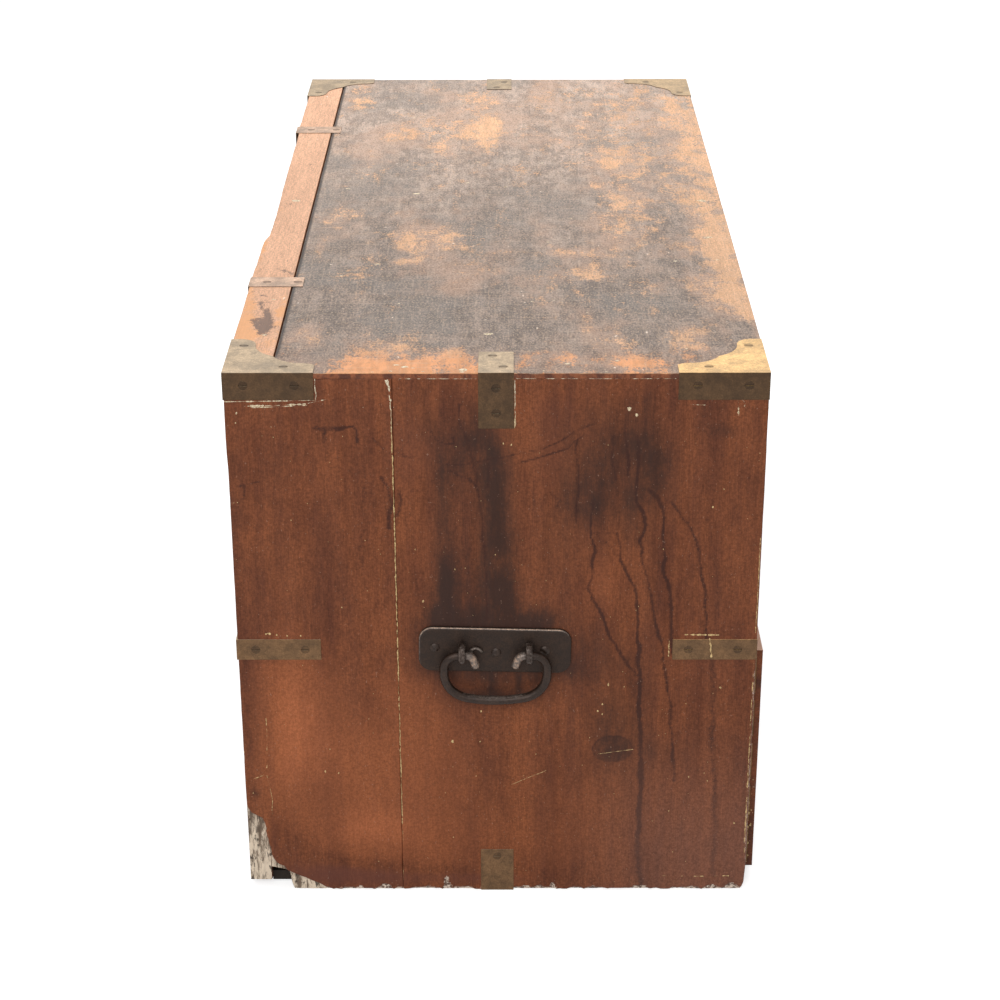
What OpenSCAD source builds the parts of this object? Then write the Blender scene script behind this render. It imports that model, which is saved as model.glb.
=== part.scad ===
// Half of a brass-bound campaign chest: two deep drawers in a case with a fixed top and two lifting handles.
// Origin at the middle of the base; X runs along the length with the near end at -X, the drawers open
// towards -Y, and Z is up.

/* [Case] */
// Length of the case, end to end
case_length = 988; // [860:1:1100]
// Depth of the case, front to back
case_depth = 457; // [420:1:540]
// Height of the case
case_height = 512; // [480:1:600]
// Thickness of the end boards
end_t = 20; // [18:0.5:26]
// Thickness of the top boards
top_t = 24; // [20:0.5:30]
// Thickness of the lip by which the top laps over the end boards
top_lip = 5; // [3:0.5:8]
// Width of the rear strip of the top
rear_strip_w = 40; // [30:1:60]
// Open joint between the rear strip and the wide board of the top
top_joint_gap = 1.2; // [0.4:0.2:3]
// Width of the rear board of each end
end_rear_w = 141.5; // [110:0.5:165]
// Thickness of the back boards
back_t = 20; // [14:0.5:24]
// Skin of the end boards that laps over the ends of the back boards
back_lap = 6; // [4:0.5:9]
// Height of the lower back board
back_lower_h = 300; // [280:1:360]
// Length of tongue between the two back boards
back_tongue = 5; // [3:0.5:8]
// Thickness of the bottom board
bottom_t = 10; // [7:0.5:11.5]

/* [Rails and runners] */
// Height of the bottom rail
bottom_rail_h = 12; // [11.5:0.5:24]
// Height of the opening for the lower drawer
lower_opening_h = 228.5; // [205:0.5:240]
// Height of the rail between the drawers
divider_h = 22; // [21:0.5:30]
// Depth of the rails, front to back
rail_depth = 45; // [40:1:70]
// Depth of the housings cut in the end boards
housing = 6; // [3:0.5:9]
// Width of the drawer runners
runner_w = 22; // [18:1:40]
// Thickness of the dust board between the drawers
dust_t = 8; // [5:0.5:12]
// Depth of the grooves that hold the dust board
dust_groove = 6; // [3:0.5:8]

/* [Drawers] */
// How far the upper drawer stands out of the case at rest
upper_ajar = 2.5; // [0:0.5:20]
// How far the lower drawer stands out of the case at rest
lower_ajar = 8.5; // [0:0.5:20]
// Thickness of the drawer fronts
front_t = 22; // [20:0.5:26]
// Thickness of the drawer sides
side_t = 12; // [10:0.5:16]
// Thickness of the drawer backs
drawer_back_t = 12; // [9:0.5:16]
// Thickness of the drawer bottoms
drawer_bottom_t = 8; // [6:0.5:10]
// Height of a drawer bottom above the lower edge of its sides
bottom_rise = 8; // [7:0.5:14]
// Depth of the grooves that hold a drawer bottom
bottom_groove = 5; // [3:0.5:7]
// Wood left in front of the half-blind dovetails
blind_lap = 5; // [4:0.5:8]
// Number of dovetails at each front corner
front_tails = 5; // [3:1:7]
// Number of dovetails at each back corner
back_tails = 4; // [3:1:6]
// Slope of the dovetails, as a share of their length
tail_slope = 0.16; // [0.1:0.01:0.2]
// Width of the pins at their narrow side
pin_w = 8; // [6:0.5:14]
// How much lower the drawer sides are than the front
side_drop = 2; // [0:0.5:5]
// How much lower the drawer back is than the sides
back_drop = 8; // [4:1:20]
// Clearance at each side of a drawer
drawer_side_gap = 1.2; // [0.5:0.1:3]
// Clearance above a drawer
drawer_top_gap = 1.2; // [0.5:0.1:4]
// Clearance between a closed drawer and the back
drawer_back_gap = 6; // [2:0.5:20]
// Distance of the drawer stops from the middle
stop_x = 300; // [120:5:340]
// Length of a drawer stop
stop_l = 40; // [20:1:80]
// Height of a drawer stop
stop_h = 5; // [3:0.5:6]

/* [Brass] */
// Thickness of the brass plates
brass_t = 1.5; // [1:0.1:2.5]
// How far the brass stands above the wood
brass_proud = 0.5; // [0:0.1:0.8]
// Length of each leg of a corner bracket on the top
bracket_leg = 80; // [70:1:95]
// Length of a corner bracket's flange on the end
bracket_end_w = 76; // [70:1:90]
// Width of a bracket's leg at its rounded tip
lobe_w = 22; // [16:1:28]
// Radius of a bracket's rounded tip
lobe_r = 14; // [6:1:16]
// Distance of the bracket's cusp from each edge
cusp = 39; // [34:1:46]
// Length of a mid-height corner strap on each face
strap_leg = 74; // [66:1:90]
// Height of a mid-height corner strap
strap_h = 20; // [14:0.5:21]
// Width of the straps in the middle of each end
edge_strap_w = 30; // [24:1:40]
// Length of the upper edge strap on the top
edge_strap_top_l = 49; // [44:1:60]
// Length of the upper edge strap down the end
edge_strap_end_l = 50; // [44:1:60]
// Height of the lower edge strap
low_strap_h = 44; // [36:1:60]
// Width of the rear straps across the top's joint
rear_strap_w = 26; // [20:1:36]
// Length of the rear straps on the top
rear_strap_top_l = 50; // [44:1:80]
// Length of the rear straps down the back
rear_strap_back_l = 50; // [40:1:80]
// Distance of the rear straps from the ends
rear_strap_x = 231; // [180:1:300]
// Radius of a screw head
screw_head_r = 4; // [3:0.1:4.5]
// Radius of a screw shank
screw_r = 1.8; // [1.4:0.1:2.2]
// Length of a screw
screw_l = 14; // [10:1:15]

/* [Lifting handles] */
// Length of the iron back plate
plate_l = 134; // [120:1:160]
// Height of the iron back plate
plate_h = 43; // [36:1:60]
// Thickness of the iron back plate
plate_t = 3; // [2:0.5:5]
// Corner radius of the iron back plate
plate_corner_r = 12; // [6:1:16]
// Tilt of the back plate as fitted, degrees
plate_tilt = 1.3; // [0:0.1:3]
// Height of the back plate's centre above the middle of the rail between the drawers
plate_lift = 0.5; // [-6:0.5:6]
// Height of the handle's pivot above the back plate's centre
eye_rise = -1; // [-4:0.5:6]
// Room above the rod in each eye, where it hangs in the lower end of the loop
eye_slack = 4; // [0.5:0.5:6]
// Distance between the two eyes
eye_spacing = 59; // [52:1:66]
// Width of an eye's band
eye_w = 6; // [4:0.5:7]
// Thickness of an eye's band
eye_band = 3.5; // [2.5:0.5:4]
// Width of the split shank of an eye
shank_w = 5; // [4:0.5:6]
// Length of each clenched leg on the inside
clench_l = 14; // [8:1:20]
// Radius of the handle's iron rod
rod_r = 3.9; // [3:0.1:4.5]
// Running clearance of the rod in its eyes
rod_gap = 0.5; // [0.4:0.1:1]
// Half of the handle's width, to the middle of the rod
bail_half_w = 45.4; // [44:0.2:52]
// Drop of the handle below its pivot
bail_drop = 44.5; // [44:0.5:56]
// Radius of the handle's lower corners
bail_corner_r = 25; // [18:1:26]
// Radius of the handle's grip, nearly straight
bail_grip_r = 130; // [110:5:300]
// Radius of the inner curls
curl_r = 7.5; // [6.5:0.5:9]
// Angle through which the inner curls turn, degrees
curl_turn = 72; // [50:1:90]
// Straight length at the tip of a curl
curl_tip_l = 8; // [4:0.5:12]
// Radius of a nail head on the back plate
nail_head_r = 4.6; // [3.5:0.1:6]
// Radius of a nail's shank
nail_r = 1.7; // [1.2:0.1:2.4]

/* [Drawer pulls and locks] */
// Distance of the pulls from the middle of the drawer
pull_x = 245; // [160:1:320]
// Width of a pull's plate
pull_w = 92; // [84:1:120]
// Height of a pull's plate
pull_h = 42; // [38:1:56]
// Width of the well in a pull's plate
well_w = 62; // [60:1:76]
// Height of the well in a pull's plate
well_h = 27; // [26:0.5:32]
// Depth of the well below the plate's face
well_d = 11; // [10:0.5:13]
// Thickness of the well's walls
well_wall = 1.2; // [1:0.1:2]
// Radius of a pull's swinging ring
ring_r = 2.4; // [2:0.1:2.6]
// Half of the ring's width, to the middle of its rod
ring_half_w = 24.5; // [20:0.5:26]
// Drop of the ring below its pivot
ring_drop = 17; // [14:0.5:18]
// Height of the ring's pivot above the middle of the well
ring_pivot_z = 8; // [6:0.5:9]
// Radius of the ring's pivot pins
pin_r = 1.5; // [1.2:0.1:1.8]
// Running clearance of the pivot pins
pin_gap = 0.08; // [0.05:0.01:0.1]
// Radius of a keyhole escutcheon
escutcheon_r = 11; // [9:0.5:16]
// Radius of the round part of a keyhole
key_r = 2.8; // [2.2:0.1:3.5]
// Length of a keyhole below its round part
key_slot = 7; // [5:0.5:8]
// Width of a lock
lock_w = 60; // [50:1:90]
// Height of a lock
lock_h = 38; // [32:1:50]
// Thickness of a lock's case
lock_t = 9; // [7:0.5:11]

/* [Hidden] */
$fn = 32;
// Clearance round glued, housed and let-in pieces
fit = 0.1;
// Clearance under, behind and beside running pieces
run_gap = 0.3;
// Overshoot of a cut past the face that it opens
cut = 1;

X1 = case_length / 2;
Y1 = case_depth / 2;
let_in = brass_t - brass_proud;
inner_x = X1 - end_t;
back_in_y = Y1 - back_t;
joint_y = Y1 - end_rear_w;
top_joint_y = Y1 - rear_strip_w;
top_z = case_height - top_t;
divider_z = bottom_rail_h + lower_opening_h;
upper_z = divider_z + divider_h;
divider_mid = divider_z + divider_h / 2;
rail_back_y = -Y1 + rail_depth;
bottom_z = bottom_rail_h - bottom_t;
drawer_x = inner_x - drawer_side_gap;
drawer_len = case_depth - back_t - drawer_back_gap;

// Lifting handle places, at the near end
plate_y = 1.5;
eye_y = 1;
nail_places = [[53, 3], [-1, -2], [-44, 0]];
eye_in_r = rod_r + rod_gap;
eye_out_r = eye_in_r + eye_band;
eye_off = plate_t + eye_out_r;
plate_z = divider_mid + plate_lift;
eye_z = plate_z + eye_rise;
shank_z = eye_z + eye_slack / 2;
shank_h = 4.4;
clench_t = 2;
nail_l = 16;
nail_dome = 1.6;

// Screw places, measured along each face from the edge or corner that the plate wraps
bracket_end_screws = [17, 60];
bracket_side_screws = [10, 54];
bracket_top_screws = [[64, 12], [14, 50]];
strap_end_screws = [16.5, 60];
strap_side_screws = [10, 60];
edge_top_screws = [[14, -6], [39.5, 3]];
edge_end_screws = [13.5, 36];
low_end_screw = 37;
rear_top_screws = [16, 44.5];
rear_back_screw = 36;
flange_mid = 11;

// Worn and broken foot of the near end at the back: distance from the rear face, height
break_outer = [
    [-1, -1], [-1, 90], [4.5, 83], [14, 77.5], [16.5, 69], [17, 58], [21, 40], [25, 27],
    [31, 25.5], [36.5, 17], [46, 9.3], [55, 8], [61, 4], [67, -1]
];
break_inner = [[-1, -1], [-1, 23], [31, 23], [36.5, 15], [46, 8], [52, -1]];
break_back = [[0, 12], [6, 7], [13, 9], [22, -1]];

// Box between two opposite corners
module box(lo, hi) {
    translate(lo) cube(hi - lo);
}

// The far end is the near end seen in a mirror
module far_end() {
    mirror([1, 0, 0]) children();
}

// Prism along X between x0 and x1 with an outline in Y and Z
module prism_x(x0, x1) {
    translate([x0, 0, 0]) rotate([90, 0, 90]) linear_extrude(x1 - x0) children();
}

// Prism along Y between y0 and y1 with an outline in X and Z
module prism_y(y0, y1) {
    translate([0, y1, 0]) rotate([90, 0, 0]) linear_extrude(y1 - y0) children();
}

function arc(c, r, a0, a1, n) = [
    for (i = [0:n]) c + r * [cos(a0 + (a1 - a0) * i / n), sin(a0 + (a1 - a0) * i / n)]
];
function flip(p) = [p[1], p[0]];
function arc_on(c, r, a0, a1, n) = [for (p = arc(c, r, a0, a1, n)) if (p != arc(c, r, a0, a1, n)[0]) p];
function reversed(v) = [for (i = [len(v) - 1:-1:0]) v[i]];
function unit(v) = v / norm(v);

// Whole path of a rod from its right half, which starts on the middle line
function both_halves(half) =
    concat([for (p = reversed(half)) [-p[0], p[1]]], [for (i = [1:len(half) - 1]) half[i]]);

// Ogee outline with its corner at the origin: a rounded tip on each leg,
// and two hollow curves that meet in a cusp
function hollow_r(leg, w, r, c) = (pow(c - w, 2) + pow(c - leg + r, 2)) / (2 * (c - w));
function half_ogee(leg, w, r, c) =
    let (h = hollow_r(leg, w, r, c), turn = atan2(leg - r - c, w + h - c))
    concat([[0, leg]], arc([w - r, leg - r], r, 90, 0, 8), arc([w + h, leg - r], h, 180, 180 + turn, 10));
function ogee(leg, w, r, c) = concat([[0, 0]], half_ogee(leg, w, r, c),
    [for (p = reversed(half_ogee(leg, w, r, c))) flip(p)]);

// Countersunk screw pointing down from the origin, g is extra clearance
module screw_form(g) {
    head_h = screw_head_r - screw_r;
    translate([0, 0, -head_h]) cylinder(r1 = screw_r + g, r2 = screw_head_r + g, h = head_h + g);
    translate([0, 0, -screw_l - g]) cylinder(r = screw_r + g, h = screw_l);
}

// Turns a piece that points down so that it points along d
module pointing(d) {
    sideways = d[0] > 0 ? [0, -90, 0] : [d[1] > 0 ? 90 : -90, 0, 0];
    turn = d[2] < 0 ? [0, 0, 0] : d[2] > 0 ? [180, 0, 0] : sideways;
    rotate(turn) children();
}

// Screws of the near end as [place of the head's face, direction]; b is 1 at the front and -1 at the back
function corner_screws(b) = concat(
    [for (u = bracket_end_screws) [[-X1 - brass_proud, b * (u - Y1), case_height - flange_mid], [1, 0, 0]]],
    [for (u = bracket_side_screws) [[u - X1, -b * (Y1 + brass_proud), case_height - flange_mid], [0, b, 0]]],
    [for (p = bracket_top_screws) [[p[0] - X1, b * (p[1] - Y1), case_height + brass_proud], [0, 0, -1]]]
);
function strap_screw_list(b) = concat(
    [for (u = strap_end_screws) [[-X1 - brass_proud, b * (u - Y1), divider_mid], [1, 0, 0]]],
    [for (u = strap_side_screws) [[u - X1, -b * (Y1 + brass_proud), divider_mid], [0, b, 0]]]
);
edge_screw_list = concat(
    [for (p = edge_top_screws) [[p[0] - X1, p[1], case_height + brass_proud], [0, 0, -1]]],
    [for (u = edge_end_screws) [[-X1 - brass_proud, 0, case_height - u], [1, 0, 0]]]
);
low_screw_list = [[[-X1 - brass_proud, 0, low_end_screw], [1, 0, 0]], [[-X1 + end_t / 2, 0, 0], [0, 0, 1]]];
rear_screw_list = concat(
    [for (u = rear_top_screws) [[rear_strap_x - X1, Y1 - u, case_height + brass_proud], [0, 0, -1]]],
    [[[rear_strap_x - X1, Y1 + brass_proud, case_height - rear_back_screw], [0, -1, 0]]]
);
near_screws = concat(corner_screws(1), corner_screws(-1), strap_screw_list(1), strap_screw_list(-1),
    edge_screw_list, low_screw_list, rear_screw_list);

function inside(p, lo, hi) = min([for (i = [0:2]) min(p[i] - lo[i], hi[i] - p[i])]) > -brass_proud - 0.01;

module place_screws(screws, g) {
    for (s = screws) translate(s[0]) pointing(s[1]) screw_form(g);
}

// Pilot holes of the near end's screws that lie in a board's box
module pilots(lo, hi) {
    place_screws([for (s = near_screws) if (inside(s[0], lo, hi)) s], fit);
}

// Corner bracket on three faces of the near end, b is 1 at the front and -1 at the back, g is clearance
module bracket_form(b, g) {
    end_w = bracket_end_w + g;
    leg = bracket_leg + g;
    translate([-X1, -b * Y1, case_height]) scale_y(b) {
        intersection() {
            translate([0, 0, -let_in]) linear_extrude(brass_t) ogee_face(g);
            box([-brass_proud, -brass_proud, -brass_t], [leg, end_w, brass_t]);
        }
        box([-brass_proud, -brass_proud, -top_t - g], [let_in, end_w, brass_proud]);
        box([-brass_proud, -brass_proud, -top_t - g], [leg, let_in, brass_proud]);
    }
}

module scale_y(b) {
    mirror([0, b > 0 ? 0 : 1, 0]) children();
}

module ogee_face(g) {
    polygon(ogee(bracket_leg + g, lobe_w + g, lobe_r + g, cusp + g));
    translate([-brass_proud, -brass_proud]) square([brass_proud, bracket_leg + g + brass_proud]);
    translate([-brass_proud, -brass_proud]) square([bracket_leg + g + brass_proud, brass_proud]);
}

module strap_form(b, g) {
    lo_z = divider_mid - strap_h / 2 - g;
    hi_z = divider_mid + strap_h / 2 + g;
    translate([-X1, -b * Y1, 0]) scale_y(b) {
        box([-brass_proud, -brass_proud, lo_z], [let_in, strap_leg + g, hi_z]);
        box([-brass_proud, -brass_proud, lo_z], [strap_leg + g, let_in, hi_z]);
    }
}

module edge_strap_form(g) {
    half = edge_strap_w / 2 + g;
    translate([-X1, 0, case_height]) {
        box([-brass_proud, -half, -let_in], [edge_strap_top_l + g, half, brass_proud]);
        box([-brass_proud, -half, -edge_strap_end_l - g], [let_in, half, brass_proud]);
    }
}

module low_strap_form(g) {
    half = edge_strap_w / 2 + g;
    translate([-X1, 0, 0]) {
        box([-brass_proud, -half, 0], [let_in, half, low_strap_h + g]);
        box([-brass_proud, -half, 0], [end_t, half, brass_t]);
    }
}

module rear_strap_form(g) {
    half = rear_strap_w / 2 + g;
    translate([rear_strap_x - X1, Y1, case_height]) {
        box([-half, -rear_strap_top_l - g, -let_in], [half, brass_proud, brass_proud]);
        box([-half, -let_in, -rear_strap_back_l - g], [half, brass_proud, brass_proud]);
    }
}

// Runner, rails and bottom as they reach into the end boards, g is clearance
module runner_form() {
    box([-inner_x - housing, rail_back_y, divider_z], [-inner_x + runner_w, back_in_y, upper_z]);
}

module tenon_form(z0, h, g) {
    shoulder = 8;
    third = h / 3;
    box([-inner_x - housing - g, -Y1 + shoulder - g, z0 + third - g],
        [-inner_x + fit, rail_back_y - shoulder + g, z0 + h - third + g]);
}

module bottom_form() {
    box([-inner_x - housing, rail_back_y, bottom_z], [inner_x + housing, back_in_y, bottom_rail_h]);
}

module dust_form(g) {
    box([-inner_x + runner_w - dust_groove - g, rail_back_y - dust_groove - g, divider_mid - dust_t / 2 - g],
        [inner_x - runner_w + dust_groove + g, back_in_y, divider_mid + dust_t / 2 + g]);
}

// Outline body of an eye's loop across the rod, longer than round by its room above the rod
module eye_form(r, w) {
    for (z = [0, eye_slack]) translate([0, 0, z]) rotate([90, 0, 0]) cylinder(r = r, h = w, center = true);
    box([-r, -w / 2, 0], [r, w / 2, eye_slack]);
}

// Split pins whose eyes carry the lifting handle: loop, shank through plate and board, clenched legs inside
module eye_shank(g) {
    for (s = [-1, 1]) translate([0, eye_y + s * eye_spacing / 2, shank_z]) {
        box([-X1 - plate_t - g, -shank_w / 2 - g, -shank_h / 2 - g],
            [-inner_x + g, shank_w / 2 + g, shank_h / 2 + g]);
        box([-inner_x - clench_t - g, -shank_w / 2 - g, -clench_l - g],
            [-inner_x + g, shank_w / 2 + g, clench_l + g]);
    }
}

module plate_outline() {
    hull_l = plate_l / 2 - plate_corner_r;
    hull_h = plate_h / 2 - plate_corner_r;
    square([2 * hull_l, plate_h], center = true);
    square([plate_l, 2 * hull_h], center = true);
    for (i = [-1, 1], j = [-1, 1]) translate([i * hull_l, j * hull_h]) circle(plate_corner_r);
}

module nail_form(g) {
    translate([0, 0, -nail_l - g]) cylinder(r = nail_r + g, h = nail_l + g);
}

module plate_nails(g) {
    for (p = nail_places)
        translate([-X1 - plate_t, plate_y + p[0], plate_z + p[1]]) pointing([1, 0, 0]) children();
}

module end_board(y0, y1) {
    lo = [-X1, y0, 0];
    hi = [-inner_x, y1, case_height - top_lip];
    difference() {
        box(lo, hi);
        runner_form();
        bottom_form();
        pilots(lo, [-inner_x, y1, case_height]);
        children();
    }
}

module end_front_board() {
    end_board(-Y1, joint_y) {
        tenon_form(divider_z, divider_h, fit);
        tenon_form(0, bottom_rail_h, fit);
        bracket_form(1, fit);
        strap_form(1, fit);
        edge_strap_form(fit);
        low_strap_form(fit);
        eye_shank(fit);
        plate_nails(0) nail_form(fit);
    }
}

module end_rear_board() {
    end_board(joint_y, Y1) {
        box([-X1 + back_lap, back_in_y, -cut], [-inner_x + cut, Y1 + cut, top_z]);
        bracket_form(-1, fit);
        strap_form(-1, fit);
    }
}

// Outline measured from the rear face, turned to lie in Y and Z
module from_rear(points) {
    polygon([for (p = points) [Y1 - p[0], p[1]]]);
}

module near_end_front_board() {
    color("saddlebrown") end_front_board();
}

module near_end_rear_board() {
    color("saddlebrown") difference() {
        end_rear_board();
        prism_x(-X1 - cut, -X1 + back_lap) from_rear(break_outer);
        prism_x(-X1 + back_lap - cut, -inner_x + cut) from_rear(break_inner);
    }
}

module far_end_front_board() {
    color("saddlebrown") far_end() end_front_board();
}

module far_end_rear_board() {
    color("saddlebrown") far_end() end_rear_board();
}

// Board of the top: full thickness between the ends, a thin lip over them
module top_board(y0, y1) {
    union() {
        box([-inner_x, y0, top_z], [inner_x, y1, case_height]);
        box([-X1, y0, case_height - top_lip], [X1, y1, case_height]);
    }
}

module top_main_board() {
    y1 = top_joint_y - top_joint_gap / 2;
    color("dimgray") difference() {
        top_board(-Y1, y1);
        for (m = [0, 1]) mirror([m, 0, 0]) {
            bracket_form(1, fit);
            bracket_form(-1, fit);
            edge_strap_form(fit);
            rear_strap_form(fit);
            pilots([-X1, -Y1, top_z], [0, y1, case_height]);
        }
    }
}

module top_rear_board() {
    y0 = top_joint_y + top_joint_gap / 2;
    color("peru") difference() {
        top_board(y0, Y1);
        for (m = [0, 1]) mirror([m, 0, 0]) {
            bracket_form(-1, fit);
            rear_strap_form(fit);
            pilots([-X1, y0, top_z], [0, Y1, case_height]);
        }
    }
}

module back_tongue_form(g) {
    third = back_t / 3;
    box([-X1 + back_lap, back_in_y + third - g, back_lower_h - back_tongue - g],
        [X1 - back_lap, Y1 - third + g, back_lower_h + fit]);
}

module back_upper_board() {
    lo = [-X1 + back_lap, back_in_y, back_lower_h];
    hi = [X1 - back_lap, Y1, top_z];
    color("sienna") {
        difference() {
            box(lo, hi);
            for (m = [0, 1]) mirror([m, 0, 0]) {
                rear_strap_form(fit);
                pilots(lo, [0, Y1, top_z]);
            }
        }
        back_tongue_form(0);
    }
}

module back_lower_board() {
    lo = [-X1 + back_lap, back_in_y, 0];
    color("sienna") difference() {
        box(lo, [X1 - back_lap, Y1, back_lower_h]);
        back_tongue_form(fit);
        for (m = [0, 1]) mirror([m, 0, 0]) {
            strap_form(-1, fit);
            pilots([-X1, back_in_y, 0], [0, Y1, back_lower_h]);
        }
        prism_y(back_in_y - cut, Y1 + cut) polygon(concat(
            [[-X1 - cut, -cut], [-X1 - cut, break_back[0][1]]],
            [for (p = break_back) [p[0] - X1 + back_lap, p[1]]]
        ));
    }
}

module bottom_board() {
    color("burlywood") bottom_form();
}

module rail(z0, h) {
    box([-inner_x, -Y1, z0], [inner_x, rail_back_y, z0 + h]);
    for (m = [0, 1]) mirror([m, 0, 0]) tenon_form(z0, h, 0);
}

module divider_rail() {
    color("saddlebrown") difference() {
        rail(divider_z, divider_h);
        dust_form(fit);
        for (m = [0, 1]) mirror([m, 0, 0]) {
            strap_form(1, fit);
            pilots([-inner_x, -Y1, divider_z], [0, rail_back_y, upper_z]);
        }
    }
}

module bottom_rail() {
    color("saddlebrown") rail(0, bottom_rail_h);
}

module drawer_runners() {
    color("burlywood") for (m = [0, 1]) mirror([m, 0, 0]) difference() {
        runner_form();
        dust_form(fit);
        eye_shank(fit);
    }
}

module dust_board() {
    color("burlywood") dust_form(0);
}

// Two stops for each drawer, glued on its rail just behind the closed front
module drawer_stops() {
    stop_w = 12;
    y0 = -Y1 + front_t + run_gap;
    color("burlywood") for (z = [bottom_rail_h, upper_z], s = [-1, 1])
        box([s * stop_x - stop_l / 2, y0, z], [s * stop_x + stop_l / 2, y0 + stop_w, z + stop_h]);
}

module corner_bracket(b) {
    color("darkkhaki") difference() {
        bracket_form(b, 0);
        place_screws(corner_screws(b), fit);
    }
}

module corner_strap(b) {
    color("darkkhaki") difference() {
        strap_form(b, 0);
        place_screws(strap_screw_list(b), fit);
    }
}

module top_edge_strap() {
    color("darkkhaki") difference() {
        edge_strap_form(0);
        place_screws(edge_screw_list, fit);
    }
}

module bottom_edge_strap() {
    color("darkkhaki") difference() {
        low_strap_form(0);
        place_screws(low_screw_list, fit);
    }
}

module rear_top_strap() {
    color("darkkhaki") difference() {
        rear_strap_form(0);
        place_screws(rear_screw_list, fit);
    }
}

// Slotted screws of both ends, each a separate solid
module brass_screws() {
    slot_w = 0.9;
    slot_d = 0.9;
    color("gold") for (m = [0, 1]) mirror([m, 0, 0]) for (s = near_screws)
        translate(s[0]) pointing(s[1]) difference() {
            screw_form(0);
            box([-slot_w / 2, -screw_head_r - cut, -slot_d], [slot_w / 2, screw_head_r + cut, cut]);
        }
}

module handle_plate() {
    color("dimgray") difference() {
        translate([0, plate_y, plate_z]) rotate([plate_tilt, 0, 0])
            prism_x(-X1 - plate_t, -X1) plate_outline();
        eye_shank(fit);
        plate_nails(0) nail_form(fit);
    }
}

module handle_eyes() {
    color("gray") {
        for (s = [-1, 1]) translate([-X1 - eye_off, eye_y + s * eye_spacing / 2, eye_z])
            difference() {
                eye_form(eye_out_r, eye_w);
                eye_form(eye_in_r, eye_w + 2 * cut);
            }
        difference() {
            eye_shank(0);
            box([-X1 - plate_t - cut, -Y1, 0], [-X1 - plate_t - fit, Y1, case_height]);
        }
        for (s = [-1, 1]) translate([0, eye_y + s * eye_spacing / 2, shank_z])
            box([-X1 - plate_t - eye_band / 2, -shank_w / 2, -shank_h / 2],
                [-X1 - plate_t, shank_w / 2, shank_h / 2]);
    }
}

module nail_dome_form() {
    sphere_r = (pow(nail_head_r, 2) + pow(nail_dome, 2)) / (2 * nail_dome);
    intersection() {
        translate([0, 0, nail_dome - sphere_r]) sphere(sphere_r);
        cylinder(r = nail_head_r + 1, h = nail_dome + 1);
    }
}

module handle_nails() {
    color("dimgray") for (m = [0, 1]) mirror([m, 0, 0]) plate_nails(0) {
        nail_dome_form();
        nail_form(0);
    }
}

// Rod swept along a path of [across, up] points, with its radius scaled at each point
module swept_rod(path, radii, sides) {
    last = len(path) - 1;
    rings = [
        for (i = [0:last])
            let (
                t = unit(path[min(i + 1, last)] - path[max(i - 1, 0)]),
                n = [-t[1], t[0]]
            )
            for (j = [0:sides - 1])
                let (a = 360 * j / sides, q = path[i] + radii[i] * cos(a) * n)
                [radii[i] * sin(a), q[0], q[1]]
    ];
    walls = [
        for (i = [0:last - 1], j = [0:sides - 1])
            let (k = (j + 1) % sides)
            each [[i * sides + j, (i + 1) * sides + j, (i + 1) * sides + k],
                [i * sides + j, (i + 1) * sides + k, i * sides + k]]
    ];
    first_cap = [for (j = [0:sides - 1]) j];
    last_cap = [for (j = [sides - 1:-1:0]) last * sides + j];
    polyhedron(rings, concat(walls, [first_cap], [last_cap]), convexity = 6);
}

// Half of the lifting handle's path from the middle of the grip, through its eye, to the tip of the curl
grip_turn = asin((bail_half_w - bail_corner_r) / (bail_grip_r - bail_corner_r));
grip_mid = bail_grip_r - bail_drop;
corner_mid = grip_mid - (bail_grip_r - bail_corner_r) * cos(grip_turn);
shoulder_y = eye_spacing / 2 + eye_w / 2 + run_gap;
shoulder_r = bail_half_w - shoulder_y;
curl_y = eye_spacing / 2 - eye_w / 2 - run_gap;
curl_end = [curl_y, -curl_r] + curl_r * [cos(90 + curl_turn), sin(90 + curl_turn)];
curl_way = [cos(180 + curl_turn), sin(180 + curl_turn)];
bail_half = concat(
    arc([0, grip_mid], bail_grip_r, -90, -90 + grip_turn, 4),
    arc_on([bail_half_w - bail_corner_r, corner_mid], bail_corner_r, -90 + grip_turn, 0, 7),
    arc([shoulder_y, -shoulder_r], shoulder_r, 0, 90, 6),
    arc([curl_y, -curl_r], curl_r, 90, 90 + curl_turn, 6),
    [curl_end + curl_way * curl_tip_l * 0.8, curl_end + curl_way * curl_tip_l]
);
bail_path = both_halves(bail_half);
// The rod is a little slimmer than its two journals, and its tips are rounded off
rod_share = 0.985;
tip_share = 0.7;
function bail_radius(i) = (i == 0 || i == len(bail_path) - 1 ? tip_share : rod_share) * rod_r;
bail_radii = [for (i = [0:len(bail_path) - 1]) bail_radius(i)];

module carry_bail() {
    color("dimgray") translate([-X1 - eye_off, eye_y, eye_z]) {
        swept_rod(bail_path, bail_radii, 12);
        for (s = [-1, 1]) translate([0, s * eye_spacing / 2, 0]) rotate([90, 0, 0])
            cylinder(r = rod_r, h = eye_w + run_gap, center = true);
    }
}

// Sizes of a drawer, u is 1 for the upper and 0 for the lower
function z_low(u) = (u == 1 ? upper_z : bottom_rail_h) + run_gap;
function z_high(u) = (u == 1 ? top_z : divider_z) - drawer_top_gap;
function face_y(u) = -Y1 - (u == 1 ? upper_ajar : lower_ajar);
function side_top(u) = z_high(u) - side_drop;
function rear_y(u) = face_y(u) + drawer_len;
function panel_z(u) = z_low(u) + bottom_rise;
function back_low(u) = panel_z(u) + drawer_bottom_t;
function back_high(u) = side_top(u) - back_drop;
function pull_z(u) = (z_low(u) + z_high(u)) / 2;

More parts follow.
